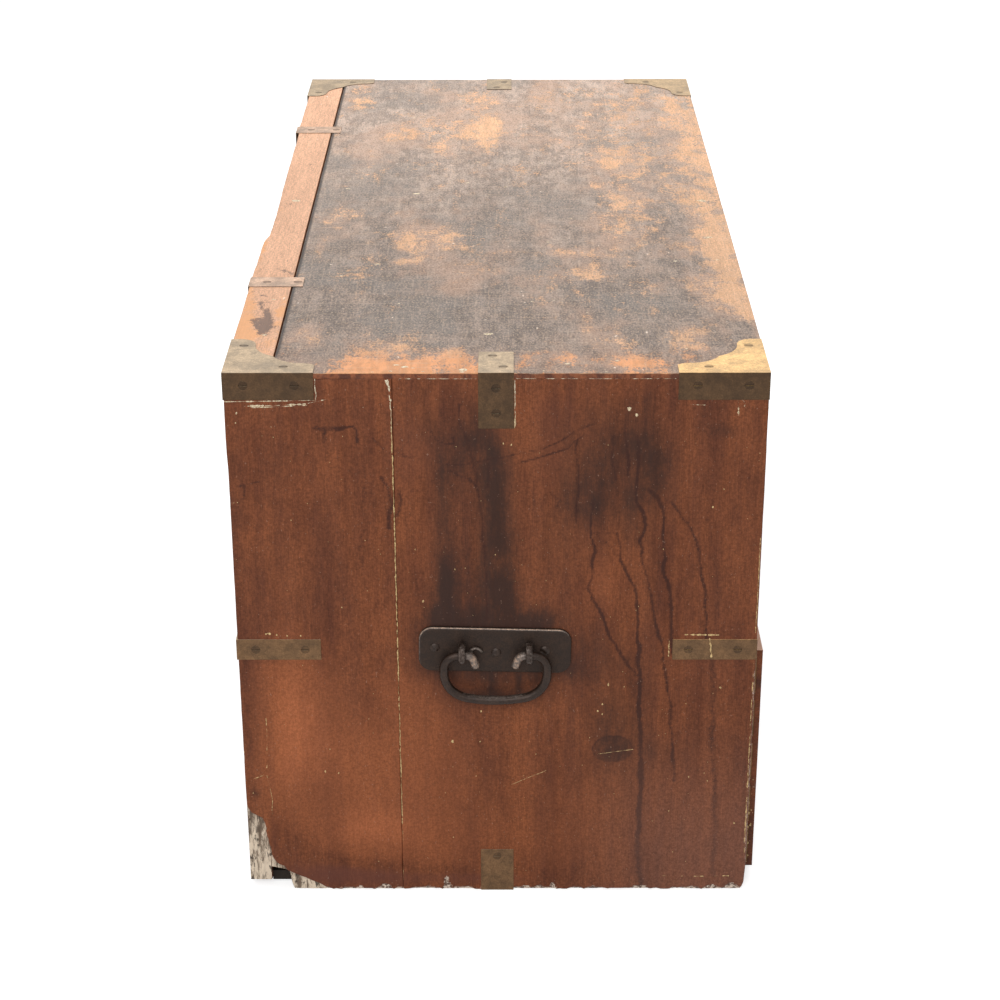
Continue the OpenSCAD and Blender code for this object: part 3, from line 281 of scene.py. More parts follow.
# Lines of old filler on the near end: half width, share that is left, how proud, and the line's points as
# (y, z)
PUTTY = [
    (1.0, 0.85, 0, [(91.5, 506), (89.4, 499), (88.6, 486)]),
    (0.52, 0.82, 0, [(88.6, 486), (88.0, 460), (87.6, 380), (87.2, 300)]),
    (0.44, 0.72, 0, [(87.2, 300), (86.9, 200)]),
    (0.42, 0.66, 0, [(86.9, 200), (86.6, 120), (86.4, 72)]),
    (0.3, 0.2, 0, [(86.4, 72), (86.2, 6)]),
    (0.34, 0.36, 0, [(206, 182), (206, 162), (207, 143), (208, 126), (206, 111), (204, 98), (205, 80)]),
    (0.5, 0.75, 0, [(228, 486.4), (200, 486.7), (174, 487.2)]),
    (0.24, 0.5, 0, [(174, 487.2), (152, 487.6)]),
    (0.8, 0.4, 0, [(212, 482.3), (184, 483.0), (160, 484.2), (148, 487.2), (137, 489.4)]),
    (0.45, 0.6, 0, [(205, 481.0), (180, 481.9), (158, 483.2)]),
    (0.4, 0.7, 0, [(151.2, 508), (150.8, 487)]),
    (0.5, 0.8, 0, [(-15.9, 506), (-16.0, 470), (-15.7, 462)]),
    (0.7, 0.5, 0, [(-203, 487), (-203, 484)]),
    (0.7, 0.62, 0, [(-203.4, 482), (-203.8, 473)]),
    (0.3, 0.5, 0, [(-163, 483.6), (-178, 483.0)]),
    (0.3, 0.45, 0, [(-206, 488), (-209, 485), (-208, 481)]),
    (0.7, 0.98, 0.6, [(-187.0, 263.0), (-189.2, 243.6)]),
    (0.7, 0.5, 0, [(-165, 266.0), (-196, 265.6)]),
    (0.6, 0.5, 0, [(-151.6, 262), (-151.2, 244)]),
    (0.24, 0.7, 0, [(-90.5, 144.8), (-107, 147.4), (-122.5, 149.8)]),
    (0.18, 0.6, 0, [(-13, 113), (-30, 121), (-45, 128)]),
    (0.28, 0.5, 0, [(82, 507.0), (40, 506.9), (16, 506.9)]),
    (0.28, 0.55, 0, [(-17, 507.0), (-90, 506.9), (-151, 506.9)]),
    (0.4, 0.3, 0, [(-152, 15), (-180, 14.4), (-214, 15)]),
    (0.45, 0.4, 0, [(222, 118), (208, 124)]),
    (0.3, 0.78, 0.1, [(-227.2, 360), (-227.0, 268)]),
    (0.5, 0.5, 0.15, [(-226.6, 238), (-226.4, 40)]),
    (0.8, 0.5, 0, [(203, 266.5), (198, 268.5)]),
    (0.7, 0.4, 0, [(204, 264), (196, 263)]),
]

# Chips out of the near end's lower edge: y, half width, height
CHIPS = [
    (161, 9, 2.6), (136, 8, 3.0), (104, 8, 6.5), (46.5, 4.5, 13), (27, 7, 3.4), (4, 8, 2.4),
    (-26, 8, 4.2), (-39, 6, 5.0), (-51, 3.5, 8.0), (-70, 6, 2.0), (-90, 11, 3.0), (-146, 5, 1.8),
    (-180, 10, 2.4), (-198, 10, 4.2), (-216, 8, 6.5), (120, 6, 1.6), (75, 9, 1.6), (-118, 8, 1.4),
]

# Broken foot at the back of the near end: outline of the outer skin, and of the wood behind it, as (z, y)
FOOT_SKIN = [
    (-2, 156), (1.5, 158), (4, 161.5), (7.5, 166), (10, 172), (13, 177), (15.5, 183), (18.5, 189),
    (21, 194), (26, 197), (28, 203), (31, 205), (40, 208), (48.5, 209), (58, 211.6), (69, 212),
    (77.5, 214), (83, 224), (90, 227.6), (110, 227.9), (425, 227.8), (440, 228.5), (512, 228.5),
]
FOOT_CORE = [
    (-2, 186), (3, 189), (11, 190.5), (13.5, 191), (18.5, 193), (19.5, 208.5), (488, 208.5),
]

# Colours of wear and dirt, in linear light; IRON_GREY also paints a highlight on the handle's grip
DARK_BAND = (0.14, 0.05, 0.036)
DRIED_RUN = (0.042, 0.0155, 0.0115)
RUBBED_WOOD, RUBBED_PALE = (0.3, 0.15, 0.09), (0.66, 0.5, 0.4)
CHIP_DARK, CHIP_PALE = (0.12, 0.07, 0.05), (0.82, 0.68, 0.56)
DUST = (0.5, 0.3, 0.21)
GREY_BLOOM = (0.23, 0.115, 0.085)
COAT_BROWN, COAT_GREY = (0.48, 0.3, 0.21), (0.19, 0.165, 0.145)
COAT_PALE_DOT, COAT_DARK_DOT = (0.52, 0.38, 0.28), (0.09, 0.07, 0.06)
NEAR_GLOW = (0.8, 0.35, 0.15)
SCRATCH, NICK = (0.62, 0.46, 0.34), (0.9, 0.74, 0.6)
JOINT_GRIME = (0.035, 0.025, 0.02)
ARRIS = (0.9, 0.52, 0.26)
STRIP_WARM, STRIP_STAIN, STRIP_NICK = (0.76, 0.37, 0.16), (0.1, 0.07, 0.06), (0.95, 0.8, 0.68)
BOARD_CHIP, LEVEL_DUST = (0.5, 0.33, 0.22), (0.8, 0.5, 0.36)
ROT_FIBRE, ROT_DIRT, ROT_CRACK = (0.22, 0.16, 0.115), (0.12, 0.09, 0.07), (0.05, 0.037, 0.03)
FILLER_CLEAN, FILLER_GRUBBY = (0.85, 0.74, 0.55), (0.3, 0.18, 0.08)
BRASS_GOLDEN, BRASS_PINK = (0.79, 0.5, 0.215), (0.55, 0.37, 0.27)
IRON_GREY = (0.17, 0.135, 0.115)

# Lamps: name, the setting with its power, size, place and aim
LAMPS = (("Overhead lamp", "overhead", 2.6, (0.7, 0.2, 2.6), (0.3, 0, 0.4)),
         ("Front lamp", "front", 2.4, (-3.0, 0.6, 1.9), (-0.4, 0, 0.25)))

# Floor: half its side, and how far it lies under the chest, in metres
FLOOR_HALF = 6
FLOOR_DROP = 0.0004


class ChestWood(bpy.types.PropertyGroup):
    """Colours of the wood and its coatings"""

    warm: FloatVectorProperty(
        name="End wood, warm", description="Lighter bands of the ends and drawer fronts",
        subtype="COLOR", size=3, min=0, max=1, default=(0.27, 0.086, 0.035))
    deep: FloatVectorProperty(
        name="End wood, deep", description="Darker bands of the ends and drawer fronts",
        subtype="COLOR", size=3, min=0, max=1, default=(0.118, 0.038, 0.02))
    # This colour also paints the shade under and round the iron plate and the handle
    smoke: FloatVectorProperty(
        name="Soot and shade", description="Soot above the handle and in the dried runs",
        subtype="COLOR", size=3, min=0, max=1, default=(0.036, 0.0185, 0.0145))
    coat: FloatVectorProperty(
        name="Top coating", description="Charred coating that is left on the top",
        subtype="COLOR", size=3, min=0, max=1, default=(0.275, 0.208, 0.168))
    bare: FloatVectorProperty(
        name="Bare top", description="Wood of the top where its coating is worn through",
        subtype="COLOR", size=3, min=0, max=1, default=(0.72, 0.42, 0.24))
    strip: FloatVectorProperty(
        name="Rear strip", description="Cleaner wood of the narrow rear board of the top",
        subtype="COLOR", size=3, min=0, max=1, default=(0.75, 0.43, 0.27))
    rotten: FloatVectorProperty(
        name="Rotten wood", description="Pale wood where a foot has broken away",
        subtype="COLOR", size=3, min=0, max=1, default=(0.74, 0.61, 0.47))
    inner: FloatVectorProperty(
        name="Inner wood", description="Plain wood of the drawers and the inside",
        subtype="COLOR", size=3, min=0, max=1, default=(0.42, 0.24, 0.12))
    filler: FloatVectorProperty(
        name="Filler", description="Pale filler in the joints",
        subtype="COLOR", size=3, min=0, max=1, default=(0.78, 0.56, 0.27))
    varnish: FloatProperty(
        name="Varnish roughness", description="Roughness of the worn varnish on the ends",
        subtype="FACTOR", min=0.1, max=1, default=0.5)


class ChestMetal(bpy.types.PropertyGroup):
    """Colours and finish of the brass and iron"""

    # Its paleness on the level faces is partly a painted reflection
    brass_flat: FloatVectorProperty(
        name="Brass, worn", description="Brass that is rubbed, on the top",
        subtype="COLOR", size=3, min=0, max=1, default=(0.43, 0.325, 0.215))
    brass_dull: FloatVectorProperty(
        name="Brass, dull", description="Tarnished brass on upright faces",
        subtype="COLOR", size=3, min=0, max=1, default=(0.14, 0.076, 0.035))
    iron: FloatVectorProperty(
        name="Iron", description="Blackened iron of the handles",
        subtype="COLOR", size=3, min=0, max=1, default=(0.024, 0.0138, 0.0094))
    # On the iron plate's upper and +Y rim this pale is partly painted light
    iron_worn: FloatVectorProperty(
        name="Iron, worn", description="Rubbed edges and tips of the iron",
        subtype="COLOR", size=3, min=0, max=1, default=(0.5, 0.33, 0.23))
    edge: FloatProperty(
        name="Plate edge", description="Rounding of the edges of the brass",
        subtype="DISTANCE", min=0.00005, max=0.0004, default=0.0002)


class ChestStage(bpy.types.PropertyGroup):
    """Camera, floor and light"""

    focal: FloatProperty(
        name="Focal length", description="Focal length on a 36 mm wide sensor, in millimetres",
        min=20, max=200, default=82.43)
    eye: FloatVectorProperty(
        name="Camera place", description="Where the camera stands",
        subtype="TRANSLATION", size=3, default=(-2.2725, -0.009, 1.2058))
    turn: FloatVectorProperty(
        name="Camera turn", description="Yaw, downward pitch and roll of the camera, in degrees",
        size=3, default=(0.188, 24.484, 0.112))
    sky: FloatProperty(
        name="Sky", description="Strength of the even light from all round",
        min=0, max=2, default=0.4)
    overhead: FloatProperty(
        name="Overhead lamp", description="Power of the large lamp over the chest, in watts",
        min=0, max=2000, default=46)
    front: FloatProperty(
        name="Front lamp", description="Power of the large lamp before the near end, in watts",
        min=0, max=2000, default=50)


def hashed(cells, seed):
    """Repeatable number from 0 to 1 for each whole-number cell: the fraction of a large sine of its
    weighted sum."""
    s = np.sin(cells @ np.array([12.9898, 78.233, 37.719]) + seed * 7.131) * 43758.5453
    return s - np.floor(s)


def lumps(p, size, seed=0):
    """Smooth random field from -1 to 1: numbers at the corners of cells of that size, blended by 3t^2 -
    2t^3."""
    q = p / np.asarray(size, float)
    base = np.floor(q)
    t = q - base
    t = t * t * (3 - 2 * t)
    corners = np.array([[i, j, k] for i in (0, 1) for j in (0, 1) for k in (0, 1)], float)
    total = sum(np.prod(np.where(c > 0, t, 1 - t), -1) * hashed(base + c, seed) for c in corners)
    return 2 * total - 1


def fractal(p, size, octaves=3, seed=0):
    """Sum of lumps, each octave with half the size and half the height of the one before."""
    parts = [lumps(p, np.asarray(size, float) / 2**k, seed + 11 * k) / 2**k for k in range(octaves)]
    return sum(parts) / (2 - 2 ** (1 - octaves))


def smooth(lo, hi, x):
    """0 below lo, 1 above hi, and 3t^2 - 2t^3 between."""
    t = np.clip((x - lo) / (hi - lo), 0, 1)
    return t * t * (3 - 2 * t)


def arc(centre, radius, start, stop, n):
    """Points on a circle from angle start to stop, in degrees."""
    a = np.radians(np.linspace(start, stop, n))
    return np.asarray(centre, float) + radius * np.stack([np.cos(a), np.sin(a)], -1)


def from_line(points, y, z):
    """Distance from each (y, z) to a broken line: the least distance to its segments' nearest points."""
    p = np.array(points, float)
    a, d = p[:-1], np.diff(p, axis=0)
    q = np.stack([y, z], -1)[..., None, :] - a
    t = np.clip((q * d).sum(-1) / (d * d).sum(-1), 0, 1)
    return np.linalg.norm(q - t[..., None] * d, axis=-1).min(-1)


def blots(table, a, b):
    """Sum of soft round blots exp(-(da^2 + db^2)), each with its own half lengths and strength."""
    return sum(s * np.exp(-(((a - ca) / ra) ** 2 + ((b - cb) / rb) ** 2)) for ca, cb, ra, rb, s in table)


def spaced(lo, hi, step, rim):
    """Coordinates from lo to hi about a step apart, with closer ones over the rounding at each end."""
    near = np.array([0, 0.08, 0.3, 0.65]) * rim
    inside = np.linspace(lo + rim, hi - rim, max(2, int(round((hi - lo - 2 * rim) / step)) + 1))
    return np.concatenate([lo + near, inside, hi - near[::-1]])


def piece(name, verts, faces, material, body, replaces=(), fields=None, angle=40):
    """Object from vertices in millimetres and lists of equal-sided face arrays, smooth below the given
    angle."""
    mesh = bpy.data.meshes.new(name)
    blocks = [np.asarray(f, np.int32) for f in faces if len(f)]
    corners = np.concatenate([b.ravel() for b in blocks])
    sizes = np.concatenate([np.full(len(b), b.shape[1], np.int32) for b in blocks])
    mesh.vertices.add(len(verts))
    mesh.vertices.foreach_set("co", (np.asarray(verts, np.float64) * MM).astype(np.float32).ravel())
    mesh.loops.add(len(corners))
    mesh.loops.foreach_set("vertex_index", corners)
    mesh.polygons.add(len(sizes))
    mesh.polygons.foreach_set("loop_start", np.concatenate([[0], np.cumsum(sizes)[:-1]]).astype(np.int32))
    mesh.update(calc_edges=True)
    for key, values in (fields or {}).items():
        layer = mesh.attributes.new(key, "FLOAT", "POINT")
        layer.data.foreach_set("value", np.ravel(values).astype(np.float32))
    mesh.polygons.foreach_set("use_smooth", np.ones(len(sizes), bool))
    mesh.set_sharp_from_angle(angle=math.radians(angle))
    mesh.validate()
    mesh.materials.append(material)
    obj = bpy.data.objects.new(name, mesh)
    bpy.context.scene.collection.objects.link(obj)
    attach(obj, body)
    if replaces:
        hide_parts(*replaces)
    return obj


def grid_faces(rows, cols, start=0, wrap=False):
    """Quads of a grid whose vertices run row by row, closed across its columns if wrap is set."""
    i = np.arange(rows - 1)[:, None] * cols
    j = np.arange(cols if wrap else cols - 1)[None, :]
    k = (j + 1) % cols
    return start + np.stack([i + j, i + cols + j, i + cols + k, i + k], -1).reshape(-1, 4)


def slab(a, b, high, low=None, flat=0.0):
    """Closed board from a height grid over (a, b): its top, its sides, and a second grid or one flat face
    below."""
    rows, cols = a.shape
    n = rows * cols
    top = np.stack([a, b, high], -1).reshape(-1, 3)
    index = np.arange(n).reshape(rows, cols)
    loop = np.concatenate([index[:, 0], index[-1, 1:], index[-2::-1, -1], index[0, -2:0:-1]])
    faces = [grid_faces(rows, cols)]
    if low is None:
        under = top[loop] * [1, 1, 0] + [0, 0, flat]
        ring = n + np.arange(len(loop))
        faces.append(ring[None, ::-1])
    else:
        under = np.stack([a, b, low], -1).reshape(-1, 3)
        ring = n + loop
        faces.append(grid_faces(rows, cols, n)[:, ::-1])
    nxt = np.roll(np.arange(len(loop)), -1)
    faces.append(np.stack([ring, ring[nxt], loop[nxt], loop], -1))
    return np.concatenate([top, under]), faces


def rounded(a, b, radius):
    """Drop of a board's face near its rim: r - sqrt(r^2 - (r - d)^2), with d the distance to the nearest
    edge."""
    across = np.minimum(a - a.min(0), a.max(0) - a)
    d = np.minimum(across, np.minimum(b - b.min(1, keepdims=True), b.max(1, keepdims=True) - b))
    u = 1 - np.clip(d / radius, 0, 1)
    return radius * (1 - np.sqrt(np.clip(1 - u * u, 0, 1))), d


def placed(verts, faces, order, sign):
    """Turns (a, b, height) into (x, y, z): order names the axis of each, sign is that of the height."""
    out = np.empty_like(verts)
    out[:, order[0]], out[:, order[1]], out[:, order[2]] = verts[:, 0], verts[:, 1], verts[:, 2] * sign
    parity = np.linalg.det(np.eye(3)[list(order)]) * sign
    return out, faces if parity > 0 else [f[:, ::-1] for f in faces]


def worn_radius(a, b, base, chips, size, seed):
    """Radius of a board's rounded edge: its base plus bites where a random field is high."""
    p = np.stack([a, b, np.full_like(a, seed * 37.0)], -1)
    bite = np.clip(fractal(p, size, 3, seed) - 0.1, 0, 1)
    return base * (1 + 0.35 * lumps(p, size * 2.3, seed + 3)) + chips * bite


def domes(table, base, narrow):
    """Low specks: for each (a, b, size), rings of radius u under a height of 1 - u^2, with an uneven
    outline."""
    a, b, size = np.array(table, float).T
    u = np.array([0.0, 0.5, 0.85, 1.0])
    turn = np.arange(8) * np.pi / 4
    k = np.arange(len(a))[:, None, None]
    cells = np.stack(np.broadcast_arrays(k, turn[None, None, :] * 3, k * 0.0), -1)
    r = 0.72 * size[:, None, None] * u[None, :, None] * (0.6 + 0.8 * hashed(cells, 4))
    spin = turn + 6.28 * hashed(k * np.array([1.0, 0, 0]), 5)[..., None]
    lift = (0.28 * (1 - u**2) - 0.25 * (u > 0.99))[None, :, None] + 0 * r
    grid = [a[:, None, None] + narrow * r * np.cos(spin), b[:, None, None] + r * np.sin(spin), base + lift]
    start = (np.arange(len(a)) * 32)[:, None]
    quads = (grid_faces(4, 8, wrap=True)[None] + start[:, :, None]).reshape(-1, 4)
    return np.stack(grid, -1).reshape(-1, 3), [quads, 24 + np.arange(8)[None, ::-1] + start]


def tube(path, side, radii, sides, flat=1.0):
    """Rod carried along a path: rings of radius r(s) in the plane of its normal and a fixed side
    direction, capped."""
    path = np.asarray(path, float)
    t = np.gradient(path, axis=0)
    t /= np.linalg.norm(t, axis=1, keepdims=True)
    side = np.broadcast_to(np.asarray(side, float), path.shape)
    n = np.cross(side, t)
    n /= np.linalg.norm(n, axis=1, keepdims=True)
    a = np.arange(sides) * 2 * np.pi / sides
    r = np.asarray(radii, float)[:, None, None]
    ring = np.cos(a)[None, :, None] * n[:, None, :] + flat * np.sin(a)[None, :, None] * side[:, None, :]
    verts = (path[:, None, :] + r * ring).reshape(-1, 3)
    return verts, capped(len(path), sides)


def capped(rings, sides):
    """Faces of a stack of rings, with one face over each end."""
    cap = np.arange(sides)[None, :]
    return [grid_faces(rings, sides, wrap=True), cap, (rings - 1) * sides + cap[:, ::-1]]


def outward(verts, faces):
    """Turns the faces round if they enclose a negative volume, by the sum of their triangles' triple
    products."""
    quads = faces[0]
    p = verts[quads] - verts.mean(0)
    volume = (np.cross(p[:, 0], p[:, 1]) * p[:, 2]).sum() + (np.cross(p[:, 0], p[:, 2]) * p[:, 3]).sum()
    return faces if volume > 0 else [f[:, ::-1] for f in faces]


def joined(parts):
    """One mesh from several lists of vertices and faces."""
    verts, faces, start = [], [], 0
    for v, fs in parts:
        verts.append(v)
        faces += [f + start for f in fs]
        start += len(v)
    return np.concatenate(verts), faces


def mirrored(verts, faces):
    """The far end's piece: X changes its sign, and the faces turn round."""
    return verts * [-1, 1, 1], [f[:, ::-1] for f in faces]


def worn_copy(name, node, width, material, body):
    """Copy of a model's node with its points merged, its flat faces joined and its edges rounded."""
    sharp = math.radians(35)
    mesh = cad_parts[node].data.copy()
    bm = bmesh.new()
    bm.from_mesh(mesh)
    bmesh.ops.remove_doubles(bm, verts=bm.verts, dist=1e-6)
    bmesh.ops.dissolve_limit(bm, angle_limit=math.radians(0.5), verts=bm.verts, edges=bm.edges)
    bm.to_mesh(mesh)
    bm.free()
    mesh.materials.clear()
    mesh.materials.append(material)
    obj = bpy.data.objects.new(name, mesh)
    bpy.context.scene.collection.objects.link(obj)
    bevel = obj.modifiers.new("Worn edges", "BEVEL")
    bevel.width = width
    bevel.segments = 2
    bevel.limit_method = "ANGLE"
    bevel.angle_limit = sharp
    bevel.harden_normals = True
    mesh.polygons.foreach_set("use_smooth", np.ones(len(mesh.polygons), bool))
    mesh.set_sharp_from_angle(angle=sharp)
    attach(obj, body)
    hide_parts(node)
    return obj


class Nodes:
    """Node tree that grows by calls: each adds a node, joins or sets its inputs, and gives back one
    output."""

    def __init__(self, tree):
        self.tree = tree
        self.tree.nodes.clear()

    def add(self, kind, inputs=None, out=0, **settings):
        made = self.tree.nodes.new(kind)
        for key, value in settings.items():
            setattr(made, key, value)
        for key, value in (inputs or {}).items():
            if isinstance(value, bpy.types.NodeSocket):
                self.tree.links.new(value, made.inputs[key])
            else:
                made.inputs[key].default_value = value
        return made.outputs[out] if made.outputs else None

    def plus(self, a, b):
        return self.add("ShaderNodeMath", {0: a, 1: b}, operation="ADD")

    def less(self, a, b):
        return self.add("ShaderNodeMath", {0: a, 1: b}, operation="SUBTRACT")

    def times(self, a, b):
        return self.add("ShaderNodeMath", {0: a, 1: b}, operation="MULTIPLY")

    def most(self, a, b):
        return self.add("ShaderNodeMath", {0: a, 1: b}, operation="MAXIMUM")

    def seen(self):
        """1 for the camera's own rays and those it sees by reflection or through glass, 0 for light on
        the object"""
        path = self.add("ShaderNodeLightPath").node.outputs
        return self.most(self.most(path["Is Camera Ray"], path["Is Glossy Ray"]), path["Is Transmission Ray"])


class Finish(Nodes):
    """Material made of nodes, whose textures lie in Object coordinates."""

    def __init__(self, name):
        self.material = bpy.data.materials.new(name)
        self.material.use_nodes = True
        super().__init__(self.material.node_tree)
        self.place = self.add("ShaderNodeTexCoord", out="Object")

    def axes(self):
        """X, Y and Z of the place"""
        return tuple(self.add("ShaderNodeSeparateXYZ", {0: self.place}).node.outputs)

    def ramp(self, value, lo, hi, to_lo=0.0, to_hi=1.0):
        """Smooth step of a value from lo to hi"""
        return self.add("ShaderNodeMapRange", {0: value, 1: lo, 2: hi, 3: to_lo, 4: to_hi},
                        interpolation_type="SMOOTHSTEP")

    def noise(self, scale, detail=3.0, stretch=(1, 1, 1), shift=(0, 0, 0), rough=0.55, warp=0.0):
        """Noise on Object coordinates, drawn out along an axis by a stretch below 1"""
        at = self.add("ShaderNodeMapping", {"Vector": self.place, "Scale": stretch, "Location": shift})
        sockets = {"Vector": at, "Scale": scale, "Detail": detail, "Roughness": rough, "Distortion": warp}
        return self.add("ShaderNodeTexNoise", sockets)

    def centred(self, value, strength):
        """A noise moved to stand about nothing and scaled"""
        return self.times(self.less(value, 0.5), strength)

    def roughened(self, value, noise, strength):
        """A value with a noise about nothing added to it"""
        return self.plus(value, self.centred(noise, strength))

    def field(self, name):
        """One of the piece's own fields, kept at its vertices"""
        return self.add("ShaderNodeAttribute", out="Fac", attribute_name=name)

    def rgba(self, c):
        return c if isinstance(c, bpy.types.NodeSocket) else (*c[:3], 1.0)

    def mix(self, amount, a, b, blend="MIX"):
        sockets = {0: amount, 6: self.rgba(a), 7: self.rgba(b)}
        return self.add("ShaderNodeMix", sockets, out=2, data_type="RGBA", blend_type=blend)

    def shade(self, colour, amount):
        """Colour multiplied by a grey"""
        grey = self.add("ShaderNodeCombineColor", {0: amount, 1: amount, 2: amount})
        return self.mix(1.0, colour, grey, "MULTIPLY")

    def over(self, colour, other, value, lo, hi, most):
        """Lays another colour over the first where a value goes from lo to hi"""
        return self.mix(self.ramp(value, lo, hi, 0.0, most), colour, other)

    def varied(self, colour, value, lo, hi, dark, light):
        """Colour made darker and lighter as a value goes from lo to hi"""
        return self.shade(colour, self.ramp(value, lo, hi, dark, light))

    def finish(self, colour, roughness, height, depth, strength, metallic=0.0, specular=0.3):
        """Surface shader with its bump, whose fixed numbers stand on its own sockets"""
        bump = self.add("ShaderNodeBump", {"Strength": strength, "Distance": depth, "Height": height})
        surface = self.add("ShaderNodeBsdfPrincipled", {
            "Base Color": colour, "Roughness": roughness, "Metallic": metallic,
            "Specular IOR Level": specular, "Normal": bump})
        self.add("ShaderNodeOutputMaterial", {"Surface": surface})
        return self.material


# Stretch of the noises that run along a grain
GRAIN = {"x": (0.05, 1, 1), "y": (1, 0.05, 1), "z": (1, 1, 0.05)}


def wood_base(f, warm, deep, grain, seed=0.0, contrast=1.0, bands=0.4):
    """Bands, streaks and clouds in two colours, with pores and a speckle over them. Gives colour, height
    and speckle."""
    stretch = GRAIN[grain]
    band = f.noise(24, 3, stretch, (seed, seed * 2, seed * 3), 0.6, 0.4)
    streak = f.noise(150, 4, stretch, (seed, 0, seed), 0.65)
    cloud = f.noise(30, 6, [0.4 + 0.6 * v for v in stretch], (seed, seed, 0), 0.7)
    pores = f.noise(1300, 2, stretch, (0, seed, 0), 0.5)
    speck = f.noise(430, 4, (1, 1, 1), (0, 0, seed), 0.8)
    blend = f.plus(f.times(band, bands), f.plus(f.times(streak, 0.22), f.times(cloud, 0.78 - bands)))
    half = 0.13 / contrast
    colour = f.mix(f.ramp(blend, 0.5 - half, 0.5 + half), deep, warm)
    colour = f.varied(colour, pores, 0.3, 0.62, 0.8, 1.05)
    colour = f.varied(colour, speck, 0.3, 0.7, 0.7, 1.3)
    height = f.plus(f.times(pores, 0.6), f.times(streak, 0.5))
    return colour, height, speck


def upright(f):
    """How far a face is from level: 0 on top, 1 on an upright side"""
    level = f.add("ShaderNodeSeparateXYZ", {0: f.add("ShaderNodeTexCoord", out="Normal")}, out="Z")
    return f.ramp(level, 0.75, 0.35)


def end_wood(settings):
    """Varnished end boards: banded wood, soot and painted shade round the handle, dried runs and rubbed,
    chipped edges from the boards' own fields"""
    f = Finish("End wood")
    ragged = f.noise(420, 4, rough=0.7)
    tone = f.field("tone")
    colour, height, speck = wood_base(f, settings.warm, settings.deep, "z", 0.0, 0.75, 0.3)
    lighter = f.shade(f.mix(0.6, colour, settings.warm), f.ramp(speck, 0.2, 0.8, 1.0, 1.45))
    colour = f.over(colour, lighter, tone, 0.05, 0.9, 0.8)
    colour = f.varied(colour, tone, 0.85, 1.8, 1.0, 1.4)
    colour = f.over(colour, DARK_BAND, tone, -0.05, -0.9, 0.7)
    # Soot, and painted shade under and round the iron plate and the handle
    soot_and_shade_amount = f.roughened(f.field("smoke"), f.noise(60, 5, GRAIN["z"], rough=0.65), 0.5)
    soot_and_shade_amount = f.plus(soot_and_shade_amount, f.times(f.field("smoke"), f.centred(f.noise(90, 7, (1, 1, 0.4), rough=0.75), 1.4)))
    colour = f.over(colour, settings.smoke, soot_and_shade_amount, 0.02, 1.4, 0.93)
    run = f.roughened(f.field("run"), ragged, 1.2)
    colour = f.over(colour, DRIED_RUN, run, 0.12, 0.8, 0.85)
    rub = f.roughened(f.field("rub"), f.noise(110, 7, rough=0.8), 4.5)
    worn = f.mix(f.ramp(ragged, 0.4, 0.62), RUBBED_WOOD, RUBBED_PALE)
    colour = f.over(colour, worn, rub, 0.66, 0.86, 0.85)
    dust = f.ramp(f.noise(560, 2, (1, 1, 0.7), (4, 4, 4)), 0.68, 0.77, 0.0, 0.4)
    colour = f.mix(dust, colour, DUST)
    _, y, z = f.axes()
    grey = f.times(f.ramp(y, -0.04, -0.17), f.ramp(z, 0.2, 0.03))
    colour = f.mix(f.times(grey, 0.4), colour, f.varied(GREY_BLOOM, speck, 0.3, 0.7, 0.75, 1.3))
    bit = f.roughened(f.field("chip"), f.noise(500, 4, rough=0.7), 1.6)
    broken = f.mix(f.ramp(f.noise(330, 3, shift=(2, 2, 2)), 0.44, 0.56), CHIP_DARK, CHIP_PALE)
    colour = f.over(colour, broken, bit, 0.55, 0.8, 0.92)
    rough = f.ramp(f.noise(90, 3, GRAIN["z"]), 0.3, 0.7, settings.varnish - 0.1, settings.varnish + 0.15)
    height = f.plus(height, f.times(f.field("run"), -0.5))
    return f.finish(colour, rough, height, 0.0005, 0.35, specular=0.14)


